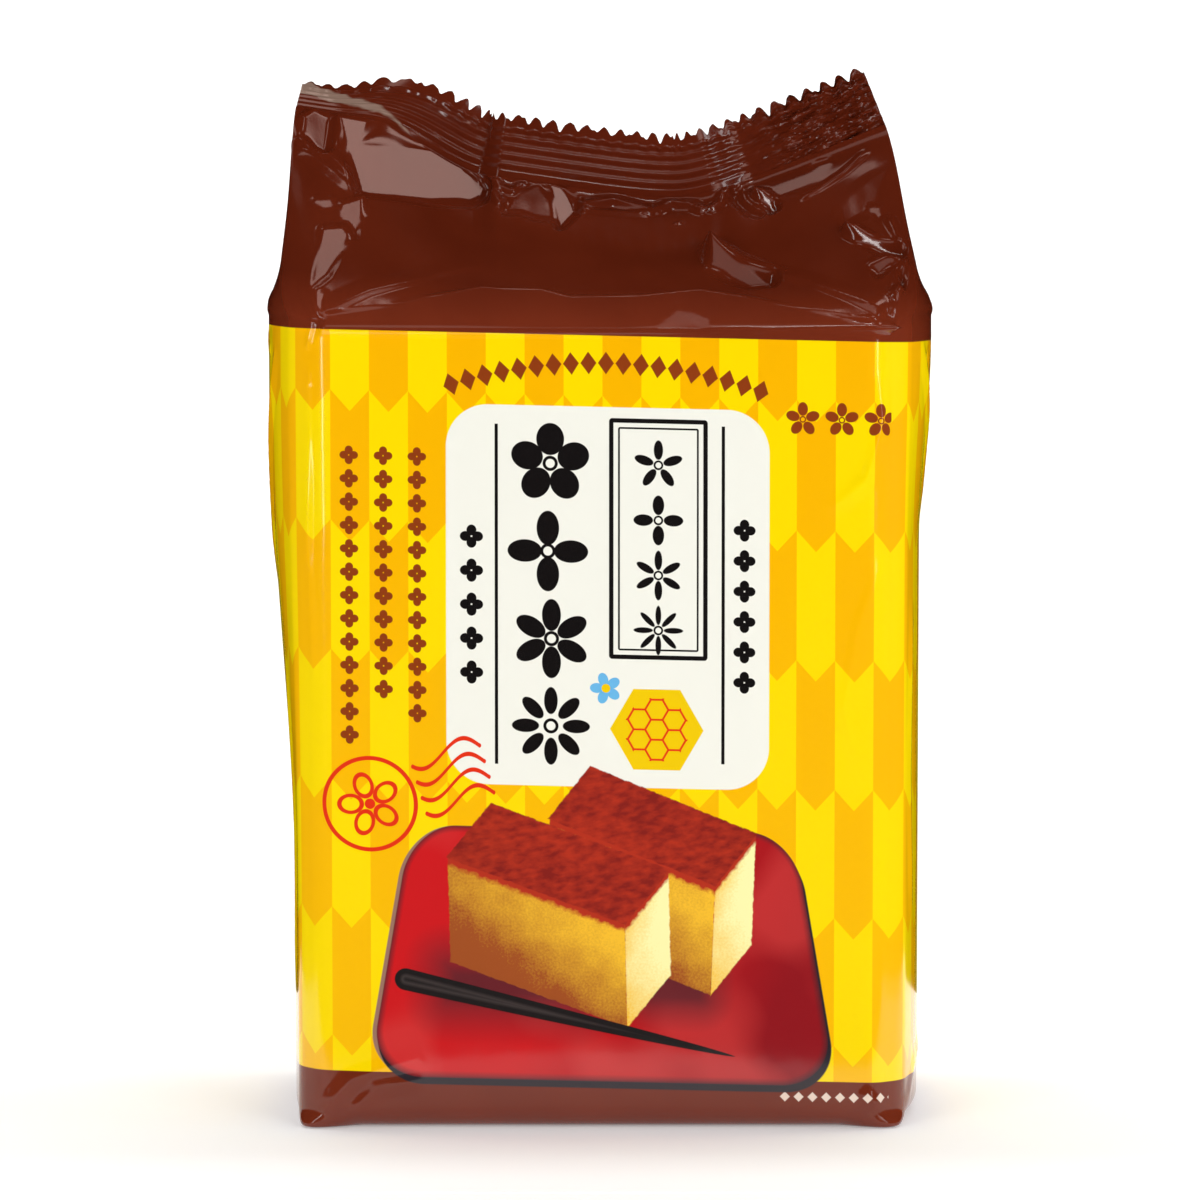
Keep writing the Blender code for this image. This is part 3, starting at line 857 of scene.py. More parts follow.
# %% [markdown]
# ## The ground of the print
# Bright yellow and orange arrow feathers run round the pack between two brown bands. The same ground is
# on every side, so it is one rule, used by each of the film's materials.

# %% The ground
BAND_TOP, BAND_FOOT = 135.1, 9.0


def brown_ground(tree, across, up):
    """Brown ink, with painted light: lighter in the foot band and just above the yellow, where the film stands upright
    in full light, than on the roof.
    """
    # painted light: lighter brown in the foot band and for a few millimetres round the top of the yellow; the blotches
    # on top are random tone
    painted_light_share = (1.25 - abs(up - BAND_TOP) / 8.0).on("MAXIMUM", 18.0 - up).on("MINIMUM", 1.0).on("MAXIMUM", 0.0)
    return lay(tree, BROWN, BROWN_PAINTED_LIGHT, (painted_light_share * 0.8 + speckle(tree, across, up, 16.0) * 0.5 - 0.15).on("MAXIMUM", 0.0))


def ground(tree, across, up):
    feathers = place(tree, arrow_feathers, across, up)
    colour = lay(tree, YELLOW, ORANGE, feathers * (up * 0.0015 + 0.72))
    in_band = abs(up - (BAND_TOP + BAND_FOOT) / 2) - (BAND_TOP - BAND_FOOT) / 2
    return lay(tree, brown_ground(tree, across, up), colour, in_band.inside(0.12))


# %% [markdown]
# ## The label on the front
# A white label with rounded corners carries four black crests, one under another, and a ruled box
# with four smaller ones. They are traditional blossoms with different numbers of petals. Small
# flowers in columns, and a chain of diamonds in an arc, finish it.

# %% Crests, boxes and columns
LABEL = dict(centre_across=1.3, centre_up=90.95, half_width=27.3, half_height=32.15, corner=7.2)
CRESTS = (
    (-8.4, 113.4, dict(petals=5, reach=4.1, length=2.7, width=2.35, turn=0.0)),
    (-8.8, 98.6, dict(petals=4, reach=3.9, length=2.9, width=1.9, turn=0.0)),
    (-8.2, 83.8, dict(petals=6, reach=4.0, length=2.7, width=1.6, turn=0.0)),
    (-8.3, 69.0, dict(petals=8, reach=4.3, length=2.3, width=1.15, turn=0.0)),
)
BOX_CRESTS = ((113.5, 5), (104.2, 4), (94.9, 6), (85.6, 8))


def crest(tree, across, up, centre_across, centre_up, size, shape):
    """A blossom with petals round a ring and a dot."""
    petals, radius = place(tree, flower, across, up, centre_across=centre_across, centre_up=centre_up, **shape)
    heart = abs(radius - size * 0.155) - size * 0.04
    return smallest(petals, heart)


def label_lines(tree, across, up):
    parts = [abs(across + 17.5).on("MAXIMUM", abs(up - 91.1) - 28.5) - 0.28,
             abs(across - 20.8).on("MAXIMUM", abs(up - 91.7) - 28.3) - 0.28]
    for half_width, half_height, stroke in ((7.95, 19.95, 0.38), (6.65, 18.7, 0.16)):
        outline = place(tree, rounded_panel, across, up, centre_across=9.85, centre_up=100.95,
                        half_width=half_width, half_height=half_height, corner=0.2)
        parts.append(abs(outline) - stroke)
    return parts


def label(tree, across, up, below):
    colour = lay(tree, below, WHITE, place(tree, rounded_panel, across, up, **LABEL).inside(0.12))
    black = label_lines(tree, across, up)
    for side, height, shape in CRESTS:
        black.append(crest(tree, across, up, side, height, 6.6, shape))
    for height, petals in BOX_CRESTS:
        shape = dict(petals=petals, reach=2.55, length=1.65, width=3.9 / petals, turn=0.0)
        black.append(crest(tree, across, up, 9.85, height, 4.2, shape))
    black.append(place(tree, flower_column, across, up, centre_across=-21.7, first_up=100.8,
                       pitch=5.75, count=5, petals=4, size=2.0))
    black.append(place(tree, flower_column, across, up, centre_across=24.4, first_up=102.8,
                       pitch=5.15, count=6, petals=4, size=1.9))
    return lay(tree, colour, BLACK, smallest(*black).inside())


# %% Brown columns, the arc and the three small crests
COLUMNS = ((-42.4, 114.0, 13), (-36.6, 114.0, 11), (-30.9, 114.0, 12))


def brown_marks(tree, across, up, below):
    parts = [place(tree, flower_column, across, up, centre_across=side, first_up=top,
                   pitch=3.95, count=count, petals=4, size=1.6) for side, top, count in COLUMNS]
    parts.append(place(tree, diamond_arc, across, up, centre_across=1.0, centre_up=130.5, radius=84.0,
                       pitch=2.95, count=19, half_width=1.35, half_height=1.9))
    for side in (34.2, 40.8, 47.4):
        shape = dict(petals=5, reach=1.75, length=1.15, width=0.85, turn=0.0)
        parts.append(crest(tree, across, up, side, 121.8, 2.9, shape))
    return lay(tree, below, TEXT_BROWN, smallest(*parts).inside())


def foot_marks(tree, across, up, below):
    """A row of small ivory diamonds on the brown band."""
    step = (across - 31.5) / 2.35
    number = (step + 0.5).on("FLOOR").on("MAXIMUM", 0.0).on("MINIMUM", 9.0)
    diamonds = (abs(step - number) * 2.35 + abs(up - 6.3) - 0.85) * 0.7
    return lay(tree, below, IVORY, diamonds.inside(0.1))


# %% The round stamp, its waves and the honeycomb
def red_marks(tree, across, up, below):
    parts = [abs(place(tree, disc, across, up, centre_across=-39.0, centre_up=54.9, radius=7.8)) - 0.36]
    shape = dict(petals=5, reach=3.3, length=2.3, width=1.75, turn=0.35)
    parts.append(abs(place(tree, flower, across, up, centre_across=-39.0, centre_up=54.9, **shape)[0] + 0.3) - 0.3)
    parts.append(place(tree, disc, across, up, centre_across=-39.0, centre_up=54.9, radius=0.9))
    for step in range(4):
        parts.append(place(tree, wave_stroke, across, up, start_across=-31.7 + 0.8 * step,
                           middle_up=62.6 - 2.65 * step, width=11.3, swing=1.9, climb=0.24, stroke=0.62))
    return lay(tree, below, RED, smallest(*parts).inside())


def honey_mark(tree, across, up, below):
    edge = place(tree, hexagon, across, up, centre_across=9.6, centre_up=68.75, half_height=6.85)
    walls = place(tree, honeycomb, across, up, centre_across=9.6, centre_up=68.75, pitch=3.4)
    colour = lay(tree, below, GOLD, edge.inside())
    inner = (walls - 0.17).on("MAXIMUM", edge + 1.5)
    colour = lay(tree, colour, RED, inner.inside())
    shape = dict(centre_across=1.0, centre_up=75.6, petals=5, reach=1.55, length=1.15, width=0.85, turn=0.3)
    petals, radius = place(tree, flower, across, up, **shape)
    colour = lay(tree, colour, SKY_BLUE, petals.inside())
    return lay(tree, colour, GOLD, (radius - 0.75).inside())


# %% [markdown]
# ## The serving picture
# Two slices of castella lie on a red lacquer plate, with a plain wooden pick. A slice is a box drawn
# in slanting view, so each of its faces is a slab with parallel sides. The shares along a slab shade
# it, and noise gives the crumb its pores and the crust its wrinkles.

# %% The plate
def plate(tree, across, up, below):
    across = (across - 0.4) * 38.0 / (41.2 - up * 0.17)
    shape = dict(centre_up=29.9, half_width=38.0, half_height=21.7, corner=9.0)
    rim = place(tree, rounded_panel, across - 0.4, up + 1.2, **shape)
    light_rim = place(tree, rounded_panel, across + 0.7, up + 0.1, **shape)
    top = place(tree, rounded_panel, across, up, **shape)
    colour = lay(tree, below, RIM_LIGHT, light_rim.inside(0.2))
    colour = lay(tree, colour, RIM_DARK, rim.inside(0.2))
    red = lay(tree, PLATE_RED, PLATE_DARK, (across * 0.020 - up * 0.012 + 0.42).on("MAXIMUM", 0.0).on("MINIMUM", 0.75))
    glow = speckle(tree, across, up, 22.0, 1.0, 4.0)
    red = lay(tree, red, PLATE_LIGHT, (glow * 3.0 - 1.5).on("MAXIMUM", 0.0).on("MINIMUM", 0.55))
    red = lay(tree, red, RIM_DARK, (top + 0.6).inside(1.2).on("SUBTRACT", 1.0).on("MULTIPLY", -0.8))
    return lay(tree, colour, red, top.inside(0.15))


# %% A slice of cake in slanting view
def crust_colour(tree, across, up):
    wrinkle = speckle(tree, across * 0.6 + up * 0.3, up * 1.3 - across * 0.3, 1.5, 3.0, 2.0)
    broad_tone = speckle(tree, across, up, 9.0, 1.0, 6.0)
    share = (wrinkle * 2.2 + broad_tone * 1.0 - 1.15).on("MAXIMUM", 0.0).on("MINIMUM", 1.0)
    return lay(tree, CRUST_DARK, CRUST, share)


def crumb_colour(tree, across, up, light, shade, share):
    pores = speckle(tree, across, up, 0.40, 2.0, 7.0) * 0.5 - 0.25
    soft = speckle(tree, across, up, 4.0, 1.0, 9.0) * 0.4 - 0.2
    return lay(tree, light, shade, (share + pores + soft).on("MAXIMUM", 0.0).on("MINIMUM", 1.0))


def cake_slice(tree, across, up, below, corner, long_side, short_side, drop):
    """The nearest top corner, and the three edges that leave it."""
    ragged = speckle(tree, across, up, 1.2, 3.0, 5.0) * 0.9 - 0.45
    place_at = dict(corner_across=corner[0], corner_up=corner[1])
    faces = []
    for first, second in ((short_side, drop), (long_side, drop), (long_side, short_side)):
        faces.append(place(tree, slab, across, up, long_across=first[0], long_up=first[1],
                           short_across=second[0], short_up=second[1], **place_at))
    end, face, top = faces
    colour = below
    bright = crumb_colour(tree, across, up, CRUMB_LIGHT, CRUMB, (0.5 - end[0]) * 0.9 + abs(end[1] - 0.45) * 0.9)
    shade = face[0] * 0.65 + (face[1] - 0.3).on("MAXIMUM", 0.0) * 1.15 + 0.02
    golden = crumb_colour(tree, across, up, CRUMB, CRUMB_SHADE, shade)
    for (along, down, distance), crumb in ((end, bright), (face, golden)):
        crumb = lay(tree, crumb, CRUST, (down * 18.0 + ragged * 1.4 - 1.4).inside(0.8))
        colour = lay(tree, colour, crumb, (distance + ragged * 0.5).inside(0.2))
    return lay(tree, colour, crust_colour(tree, across, up), (top[2] + ragged * 0.5 - 0.2).inside(0.2))


def soft_shadow(tree, across, up, below, centre, half_width, half_height, softness, depth):
    away = place(tree, rounded_panel, across, up, centre_across=centre[0], centre_up=centre[1],
                 half_width=half_width, half_height=half_height, corner=3.0)
    return lay(tree, below, RIM_DARK, away.inside(softness) * depth)


def wooden_pick(tree, across, up, below, tip, end, half_width):
    """A tapered pick from its tip to its blunt end."""
    reach, rise = end[0] - tip[0], end[1] - tip[1]
    squared = reach**2 + rise**2
    share = ((across - tip[0]) * reach + (up - tip[1]) * rise) / squared
    held = share.on("MAXIMUM", 0.0).on("MINIMUM", 1.0)
    away = length_of(across - tip[0] - held * reach, up - tip[1] - held * rise)
    distance = away - (held ** 0.6) * half_width
    colour = lay(tree, below, PICK, distance.inside(0.15))
    return lay(tree, colour, ink(84, 74, 72), (abs(distance + half_width * 0.7) - 0.25).inside(0.6) * 0.5)


def serving_picture(tree, across, up, below):
    colour = plate(tree, across, up, below)
    colour = soft_shadow(tree, across, up, colour, (-15.0, 24.5), 14.0, 6.0, 9.0, 0.8)
    colour = soft_shadow(tree, across, up, colour, (13.0, 25.0), 7.0, 5.0, 6.0, 0.75)
    colour = cake_slice(tree, across, up, colour, (19.5, 42.5), (-28.0, 10.8), (6.9, 8.8), (-0.7, -19.0))
    colour = cake_slice(tree, across, up, colour, (4.2, 35.6), (-30.0, 10.6), (7.4, 9.2), (0.4, -18.0))
    return wooden_pick(tree, across, up, colour, (23.0, 13.0), (-33.0, 25.0), 1.9)


# %% [markdown]
# ## The film's materials
# Printed film is a clear glossy layer over ink. Under light it shows three scales at once: the creases of
# the mesh, soft ripples a few millimetres wide, and a very fine grain that breaks up the highlights.
# The last two are one group, used by every film material.

# %% Ripples and grain
@shader_group("Height", "Grain", across=0, up=0, ripple_size=9, ripple=1, grain_size=0.45)
def film_surface(across, up, ripple_size, ripple, grain_size):
    tree = across.tree
    wide = speckle(tree, across / ripple_size, up / ripple_size * 0.6, 1.0, 2.0, 1.0)
    fine = speckle(tree, across / grain_size, up / grain_size, 1.0, 1.0, 3.0)
    return wide * ripple + fine * 0.012, fine


def film_material(name, print_rule, ripple=1.0):
    material = bpy.data.materials.new(name)
    material.use_nodes = True
    tree = material.node_tree
    where = tree.nodes.new("ShaderNodeUVMap")
    where.uv_map = "film"
    split = tree.nodes.new("ShaderNodeSeparateXYZ")
    tree.links.new(where.outputs[0], split.inputs[0])
    across, up = Wire(tree, split.outputs[0]), Wire(tree, split.outputs[1])
    shader = tree.nodes["Principled BSDF"]
    join(tree, shader.inputs["Base Color"], print_rule(tree, across, up))
    height, grain = place(tree, film_surface, across, up, ripple=ripple)
    join(tree, shader.inputs["Roughness"], grain * 0.06 + 0.08)
    shader.inputs["IOR"].default_value = 1.49
    bump = tree.nodes.new("ShaderNodeBump")
    bump.inputs["Strength"].default_value = 1.0
    bump.inputs["Distance"].default_value = 0.00012
    join(tree, bump.inputs["Height"], height)
    tree.links.new(bump.outputs[0], shader.inputs["Normal"])
    return material


def front_print(tree, across, up):
    colour = ground(tree, across, up)
    colour = label(tree, across, up, colour)
    colour = brown_marks(tree, across, up, colour)
    colour = red_marks(tree, across, up, colour)
    colour = honey_mark(tree, across, up, colour)
    colour = foot_marks(tree, across, up, colour)
    return serving_picture(tree, across, up, colour)


BACK_MIDDLE = FILM_GIRTH / 2 / MM


def back_print(tree, across, up):
    """The ground, with a white ruled panel on one side of the seam and a column of crests on the other."""
    colour = ground(tree, across, up)
    panel = dict(centre_across=BACK_MIDDLE - 29.0, centre_up=72.0, corner=2.5)
    colour = lay(tree, colour, WHITE, place(tree, rounded_panel, across, up, half_width=17.5, half_height=44.0,
                                            **panel).inside(0.12))
    inner = place(tree, rounded_panel, across, up, half_width=15.5, half_height=42.0, **panel)
    rows = abs(((up - 72.0) / 6.0).on("WRAP", 0.5, -0.5)) * 6.0 - 0.1
    lines = smallest(rows.on("MAXIMUM", inner), abs(inner) - 0.2,
                     (abs(across - BACK_MIDDLE + 35.0) - 0.1).on("MAXIMUM", inner))
    colour = lay(tree, colour, TEXT_BROWN, lines.inside())
    parts = []
    for height, petals in ((112.0, 5), (94.0, 4), (76.0, 6), (58.0, 8)):
        shape = dict(petals=petals, reach=4.1, length=2.7, width=7.5 / petals, turn=0.0)
        parts.append(crest(tree, across, up, 30.0 - BACK_MIDDLE, height, 6.6, shape))
    parts.append(place(tree, flower_column, across, up, centre_across=44.0 - BACK_MIDDLE, first_up=114.0,
                       pitch=3.95, count=24, petals=4, size=1.6))
    return lay(tree, colour, TEXT_BROWN, smallest(*parts).inside())


def seal_print(tree, across, up):
    """Brown, but a dog-eared end of the seal shows the film's unprinted inside."""
    along, above = across + half_broad / MM, up - film_up[-1] / MM
    edge = speckle(tree, across, up, 3.0, 2.0, 8.0) * 2.4 - 1.2
    ear = abs(above + along * 0.42 - SEAL_HEIGHT / MM + 2.2) + along * 0.13 - 2.6 + edge * 0.5
    return lay(tree, brown_ground(tree, across, up), TAN, ear.inside(0.5) * 0.85)


FRONT_FILM = film_material("front_film", front_print, 0.6)
GROUND_FILM = film_material("feathered_film", ground, 1.0)
BROWN_FILM = film_material("brown_film", brown_ground, 1.2)
BACK_FILM = film_material("back_film", back_print, 0.8)
SEAL_FILM = film_material("seal_film", seal_print, 1.2)
print("front print:", len(FRONT_FILM.node_tree.nodes), "nodes")


# %% [markdown]
# ## Cutting the film into pieces
# The grid becomes meshes: front, back and two sides, and the roof's front and back apart, so that the
# printed panels keep an even share of points. Neighbours share their border points and normals.

# %% Make a piece from rows and columns of the grid
def grid_piece(name, places, across, up, normals, material):
    rows, columns = places.shape[:2]
    index = np.arange(rows * columns).reshape(rows, columns)
    corners = (index[:-1, :-1], index[:-1, 1:], index[1:, 1:], index[1:, :-1])
    quads = np.stack(corners, axis=-1).reshape(-1, 4)
    mesh = bpy.data.meshes.new(name)
    mesh.from_pydata(places.reshape(-1, 3), [], quads)
    layer = mesh.uv_layers.new(name="film")
    flat = np.stack([across.reshape(-1), up.reshape(-1)], axis=-1)[quads.reshape(-1)]
    layer.uv.foreach_set("vector", flat.reshape(-1).astype(np.float32))
    mesh.shade_smooth()
    if normals is not None:
        mesh.normals_split_custom_set_from_vertices(normals.reshape(-1, 3))
    mesh.materials.append(material)
    piece = bpy.data.objects.new(name, mesh)
    bpy.context.scene.collection.objects.link(piece)
    return piece


def film_piece(name, rows, columns, side, material):
    places = film[rows][:, columns]
    across = np.broadcast_to(FILM_ACROSS[side], places.shape[:2]) / MM
    up = film_up[rows][:, None] / MM + PRINT_SKEW * places[..., 0] / MM
    return grid_piece(name, places, across, up, film_normals[rows][:, columns], material)


ALL_ROWS = slice(0, len(film_up))
WALL_ROWS = slice(0, BODY_ROWS)
LOOSE_ROWS = slice(BODY_ROWS - 1, len(film_up))
pieces = [
    film_piece("film_front", WALL_ROWS, FRONT, "front", FRONT_FILM),
    film_piece("film_roof_front", LOOSE_ROWS, FRONT, "front", BROWN_FILM),
    film_piece("film_right", ALL_ROWS, RIGHT, "right", GROUND_FILM),
    film_piece("film_back", WALL_ROWS, BACK, "back", BACK_FILM),
    film_piece("film_roof_back", LOOSE_ROWS, BACK, "back", BROWN_FILM),
    film_piece("film_left", ALL_ROWS, LEFT, "left", GROUND_FILM),
]
for piece in pieces:
    print(piece.name, len(piece.data.polygons) * 2, "triangles")

# %% [markdown]
# ## Crimped strips
# A heated jaw with ribs presses two layers of film into a strip, and a saw-toothed knife cuts it off. The
# ribs and the teeth repeat along the strip, so Geometry Nodes press them into a plain strip that knows
# how far each of its points is along it and above its foot. The same tree makes the top seal, the seal
# folded under the base, and the seam up the back.

# %% The tree that presses ribs and cuts teeth
def named(tree, name, kind="FLOAT"):
    node = tree.nodes.new("GeometryNodeInputNamedAttribute")
    node.data_type = kind
    node.inputs["Name"].default_value = name
    return node.outputs[0]


def scaled(tree, vector, share):
    node = tree.nodes.new("ShaderNodeVectorMath")
    node.operation = "SCALE"
    tree.links.new(vector, node.inputs[0])
    join(tree, node.inputs["Scale"], share)
    return node.outputs[0]


CRIMP_INPUTS = (("Rib count", 5.0), ("Rib start", 0.001), ("Rib pitch", 0.0016), ("Rib depth", 0.0003),
                ("Tooth pitch", 0.003), ("Tooth height", 0.0013), ("Strip height", 0.011),
                ("Crumple", 0.0), ("Crumple start", 0.0), ("Crumple end", 0.1))


def crimp_tree():
    tree = bpy.data.node_groups.new("crimped strip", "GeometryNodeTree")
    tree.is_modifier = True
    tree.interface.new_socket("Strip", in_out="INPUT", socket_type="NodeSocketGeometry")
    for label, start in CRIMP_INPUTS:
        tree.interface.new_socket(label, in_out="INPUT", socket_type="NodeSocketFloat").default_value = start
    tree.interface.new_socket("Film", in_out="INPUT", socket_type="NodeSocketMaterial")
    tree.interface.new_socket("Strip", in_out="OUTPUT", socket_type="NodeSocketGeometry")
    source, sink = tree.nodes.new("NodeGroupInput"), tree.nodes.new("NodeGroupOutput")
    size = {label: Wire(tree, source.outputs[label]) for label, _ in CRIMP_INPUTS}
    above, along = Wire(tree, named(tree, "above")), Wire(tree, named(tree, "along"))
    step = (above - size["Rib start"]) / size["Rib pitch"]
    ribbed = step.on("GREATER_THAN", 0.0) * step.on("LESS_THAN", size["Rib count"])
    loose = (along - size["Crumple start"]) / (size["Crumple end"] - size["Crumple start"])
    firm = 1.0 - (loose * 2.5).on("MAXIMUM", 0.0).on("MINIMUM", 0.75)
    press = ((step * (2.0 * math.pi)).on("SINE") * 0.97).on("ARCSINE") / 1.33 * ribbed * size["Rib depth"] * firm
    noise = tree.nodes.new("ShaderNodeTexNoise")
    noise.inputs["Scale"].default_value = 1000.0
    noise.inputs["Detail"].default_value = 2.0
    slanting = tree.nodes.new("ShaderNodeCombineXYZ")
    join(tree, slanting.inputs[0], above - along * 0.12)
    join(tree, slanting.inputs[1], along * 0.14)
    tree.links.new(slanting.outputs[0], noise.inputs["Vector"])
    broad_noise = tree.nodes.new("ShaderNodeTexNoise")
    broad_noise.inputs["Scale"].default_value = 190.0
    broad_noise.inputs["Detail"].default_value = 1.0
    wrinkles = (Wire(tree, noise.outputs[0]) - 0.5) + (Wire(tree, broad_noise.outputs[0]) - 0.5) * 0.6
    crumple = wrinkles * size["Crumple"] * loose.on("MULTIPLY", 1.0, clamp=True) ** 1.5
    uneven = tree.nodes.new("ShaderNodeTexNoise")
    uneven.noise_dimensions = "1D"
    uneven.inputs["Detail"].default_value = 0.0
    join(tree, uneven.inputs["W"], along * 160.0)
    unevenness = Wire(tree, uneven.outputs[0]) - 0.5
    tooth = (along / size["Tooth pitch"] * (2.0 * math.pi)).on("COSINE") * 0.5 + 0.5
    near_top = (above / size["Strip height"]) ** 6.0
    cut = tooth * near_top * size["Tooth height"] * (unevenness * 1.6 + 1.0) * -1.0
    geometry = source.outputs[0]
    for direction, amount in (("outward", press + crumple), ("upward", cut)):
        move = tree.nodes.new("GeometryNodeSetPosition")
        tree.links.new(geometry, move.inputs["Geometry"])
        tree.links.new(scaled(tree, named(tree, direction, "FLOAT_VECTOR"), amount), move.inputs["Offset"])
        geometry = move.outputs[0]
    real, paint = tree.nodes.new("GeometryNodeRealizeInstances"), tree.nodes.new("GeometryNodeSetMaterial")
    tree.links.new(geometry, real.inputs[0])
    tree.links.new(real.outputs[0], paint.inputs["Geometry"])
    tree.links.new(source.outputs["Film"], paint.inputs["Material"])
    tree.links.new(paint.outputs[0], sink.inputs[0])
    return tree


CRIMP = crimp_tree()


# %% A plain strip, ready for the tree
def press_strip(name, foot, up, normal, height, thickness, rows, start, material, turned=False, **sizes):
    """Builds a closed flat strip from its foot line, and crimps it. Sizes go to the tree's named inputs.
    Its print runs along the foot line, or across it if the strip is turned."""
    count = len(foot)
    along = np.concatenate([[0.0], np.cumsum(np.linalg.norm(np.diff(foot, axis=0), axis=1))])
    reach = np.linspace(0.0, 1.0, rows)[:, None] * height
    middle = foot + up * reach[..., None]
    front, back = middle - normal * thickness / 2, middle + normal * thickness / 2
    ring = np.concatenate([front, back[:, ::-1]], axis=1)
    index = np.arange(rows * 2 * count).reshape(rows, -1)
    nxt = np.roll(index, -1, axis=1)
    quads = [np.stack([index[:-1], nxt[:-1], nxt[1:], index[1:]], axis=-1).reshape(-1, 4)]
    left, right = index[-1, : count - 1], index[-1, 1:count]
    far_right, far_left = index[-1, ::-1][1:count], index[-1, ::-1][: count - 1]
    quads.append(np.stack([left, right, far_right, far_left], axis=-1))
    quads.append(np.stack([index[0, 1:count], index[0, : count - 1],
                           index[0, ::-1][: count - 1], index[0, ::-1][1:count]], axis=-1))
    quads = np.concatenate(quads)
    mesh = bpy.data.meshes.new(name)
    mesh.from_pydata(ring.reshape(-1, 3), [], quads)
    both = np.concatenate([np.arange(count), np.arange(count)[::-1]])
    values = {"above": np.broadcast_to(reach, (rows, 2 * count)),
              "along": np.broadcast_to(along[both], (rows, 2 * count))}
    for label, numbers in values.items():
        layer = mesh.attributes.new(label, "FLOAT", "POINT")
        layer.data.foreach_set("value", np.ascontiguousarray(numbers, dtype=np.float32).reshape(-1))
    for label, numbers in (("outward", normal), ("upward", up)):
        layer = mesh.attributes.new(label, "FLOAT_VECTOR", "POINT")
        spread = np.broadcast_to(numbers[both], (rows, 2 * count, 3))
        layer.data.foreach_set("vector", np.ascontiguousarray(spread, dtype=np.float32).reshape(-1))
    flat = [np.broadcast_to(along[both], (rows, 2 * count)), np.broadcast_to(reach, (rows, 2 * count))]
    flat = (np.stack(flat[::-1] if turned else flat, axis=-1) + start) / MM
    uv = mesh.uv_layers.new(name="film")
    uv.uv.foreach_set("vector", flat.reshape(-1, 2)[quads.reshape(-1)].reshape(-1).astype(np.float32))
    mesh.shade_smooth()
    piece = bpy.data.objects.new(name, mesh)
    bpy.context.scene.collection.objects.link(piece)
    modifier = piece.modifiers.new("crimp", "NODES")
    modifier.node_group = CRIMP
    sockets = {item.name: item.identifier for item in CRIMP.interface.items_tree if item.in_out == "INPUT"}
    modifier[sockets["Strip height"]] = height
    modifier[sockets["Film"]] = material
    for label, value in sizes.items():
        modifier[sockets[label.replace("_", " ").capitalize()]] = value
    graph = bpy.context.evaluated_depsgraph_get()
    pressed = bpy.data.meshes.new_from_object(piece.evaluated_get(graph), preserve_all_data_layers=True,
                                              depsgraph=graph)
    piece.modifiers.clear()
    piece.data = pressed
    pressed.set_sharp_from_angle(angle=math.radians(50))
    print(name, len(pressed.polygons) * 2, "triangles")
    return piece


# %% The top seal
STRIP_STEPS = 504
foot, up, normal = seal_lines(STRIP_STEPS)
seal_length = np.linalg.norm(np.diff(foot, axis=0), axis=1).sum()
pieces.append(press_strip("top_seal", foot, up, normal, SEAL_HEIGHT, 0.0004, 56, (-half_broad, film_up[-1]),
                          SEAL_FILM, rib_depth=0.00019, tooth_pitch=seal_length / TOOTH_COUNT,
                          tooth_height=TOOTH_HEIGHT, crumple=0.0040, crumple_start=0.079, crumple_end=0.095))

# %% [markdown]
# ## The base
# Under the cake the film is folded like the end of a parcel. Its seal lies flat across the base, and the
# film round it stands a little higher, so the pack rests on its edges and the folded seal.

# %% The base film and the seal folded under it
def base_film():
    front, back = film[0, FRONT], film[0, BACK][::-1]
    left, right = film[0, LEFT][::-1], film[0, RIGHT]
    s, t = broad[:, None], np.linspace(0.0, 1.0, NARROW_STEPS + 1)[None, :, None]
    s = s[..., None]
    between = front[:, None] * (1 - t) + back[:, None] * t + left[None] * (1 - s) + right[None] * s
    corners = (front[0] * (1 - s) * (1 - t) + front[-1] * s * (1 - t) + back[0] * (1 - s) * t + back[-1] * s * t)
    places = between - corners
    inner = np.minimum(np.minimum(s, 1 - s) * 102, np.minimum(t, 1 - t) * 60)[..., 0]
    places[..., 2] += 0.0011 * ease(inner, 0.0, 3.0)
    x, y = np.abs(places[..., 0]), np.abs(places[..., 1] - 0.001)
    fold = np.abs((PANEL_HALF_WIDTH - x) - (PACK_DEPTH / 2 - y) * 0.95)
    places[..., 2] -= 0.0004 * np.clip(1.0 - fold / 0.0012, 0.0, 1.0) * ease(inner, 2.0, 6.0)
    places[..., 2] = np.maximum(places[..., 2], 0.0)
    return places[:, ::-1].transpose(1, 0, 2)


base = base_film()
base_across = base[..., 0] / MM
base_up = -20.0 - (base[..., 1] + PACK_DEPTH / 2) / MM
pieces.append(grid_piece("film_base", base, base_across, base_up, None, BROWN_FILM))

line = np.linspace(-0.048, 0.048, 400)
base_foot = np.stack([line, np.full_like(line, -0.004), np.full_like(line, 0.0006)], axis=-1)
toward_back = np.tile([0.0, 1.0, 0.0], (len(line), 1))
downward = np.tile([0.0, 0.0, -1.0], (len(line), 1))
pieces.append(press_strip("base_seal", base_foot, toward_back, -downward, 0.011, 0.0005, 50, (-0.048, -0.040),
                          BROWN_FILM, rib_depth=0.0002, tooth_pitch=0.003, tooth_height=TOOTH_HEIGHT))

# %% [markdown]
# ## The seam up the back
# The film was rolled into a tube, and its edges sealed to a fin that is folded flat to one side. It runs
# from the base up into the top seal, with fine ribs across it.

# %% The back seam
def back_line(x):
    """The back panel's points at one x, from the base to the seal, with their normals."""
    column = BACK[np.argmin(np.abs(film[BODY_ROWS // 2, BACK, 0] - x))]
    return film[:, column], film_normals[:, column], column


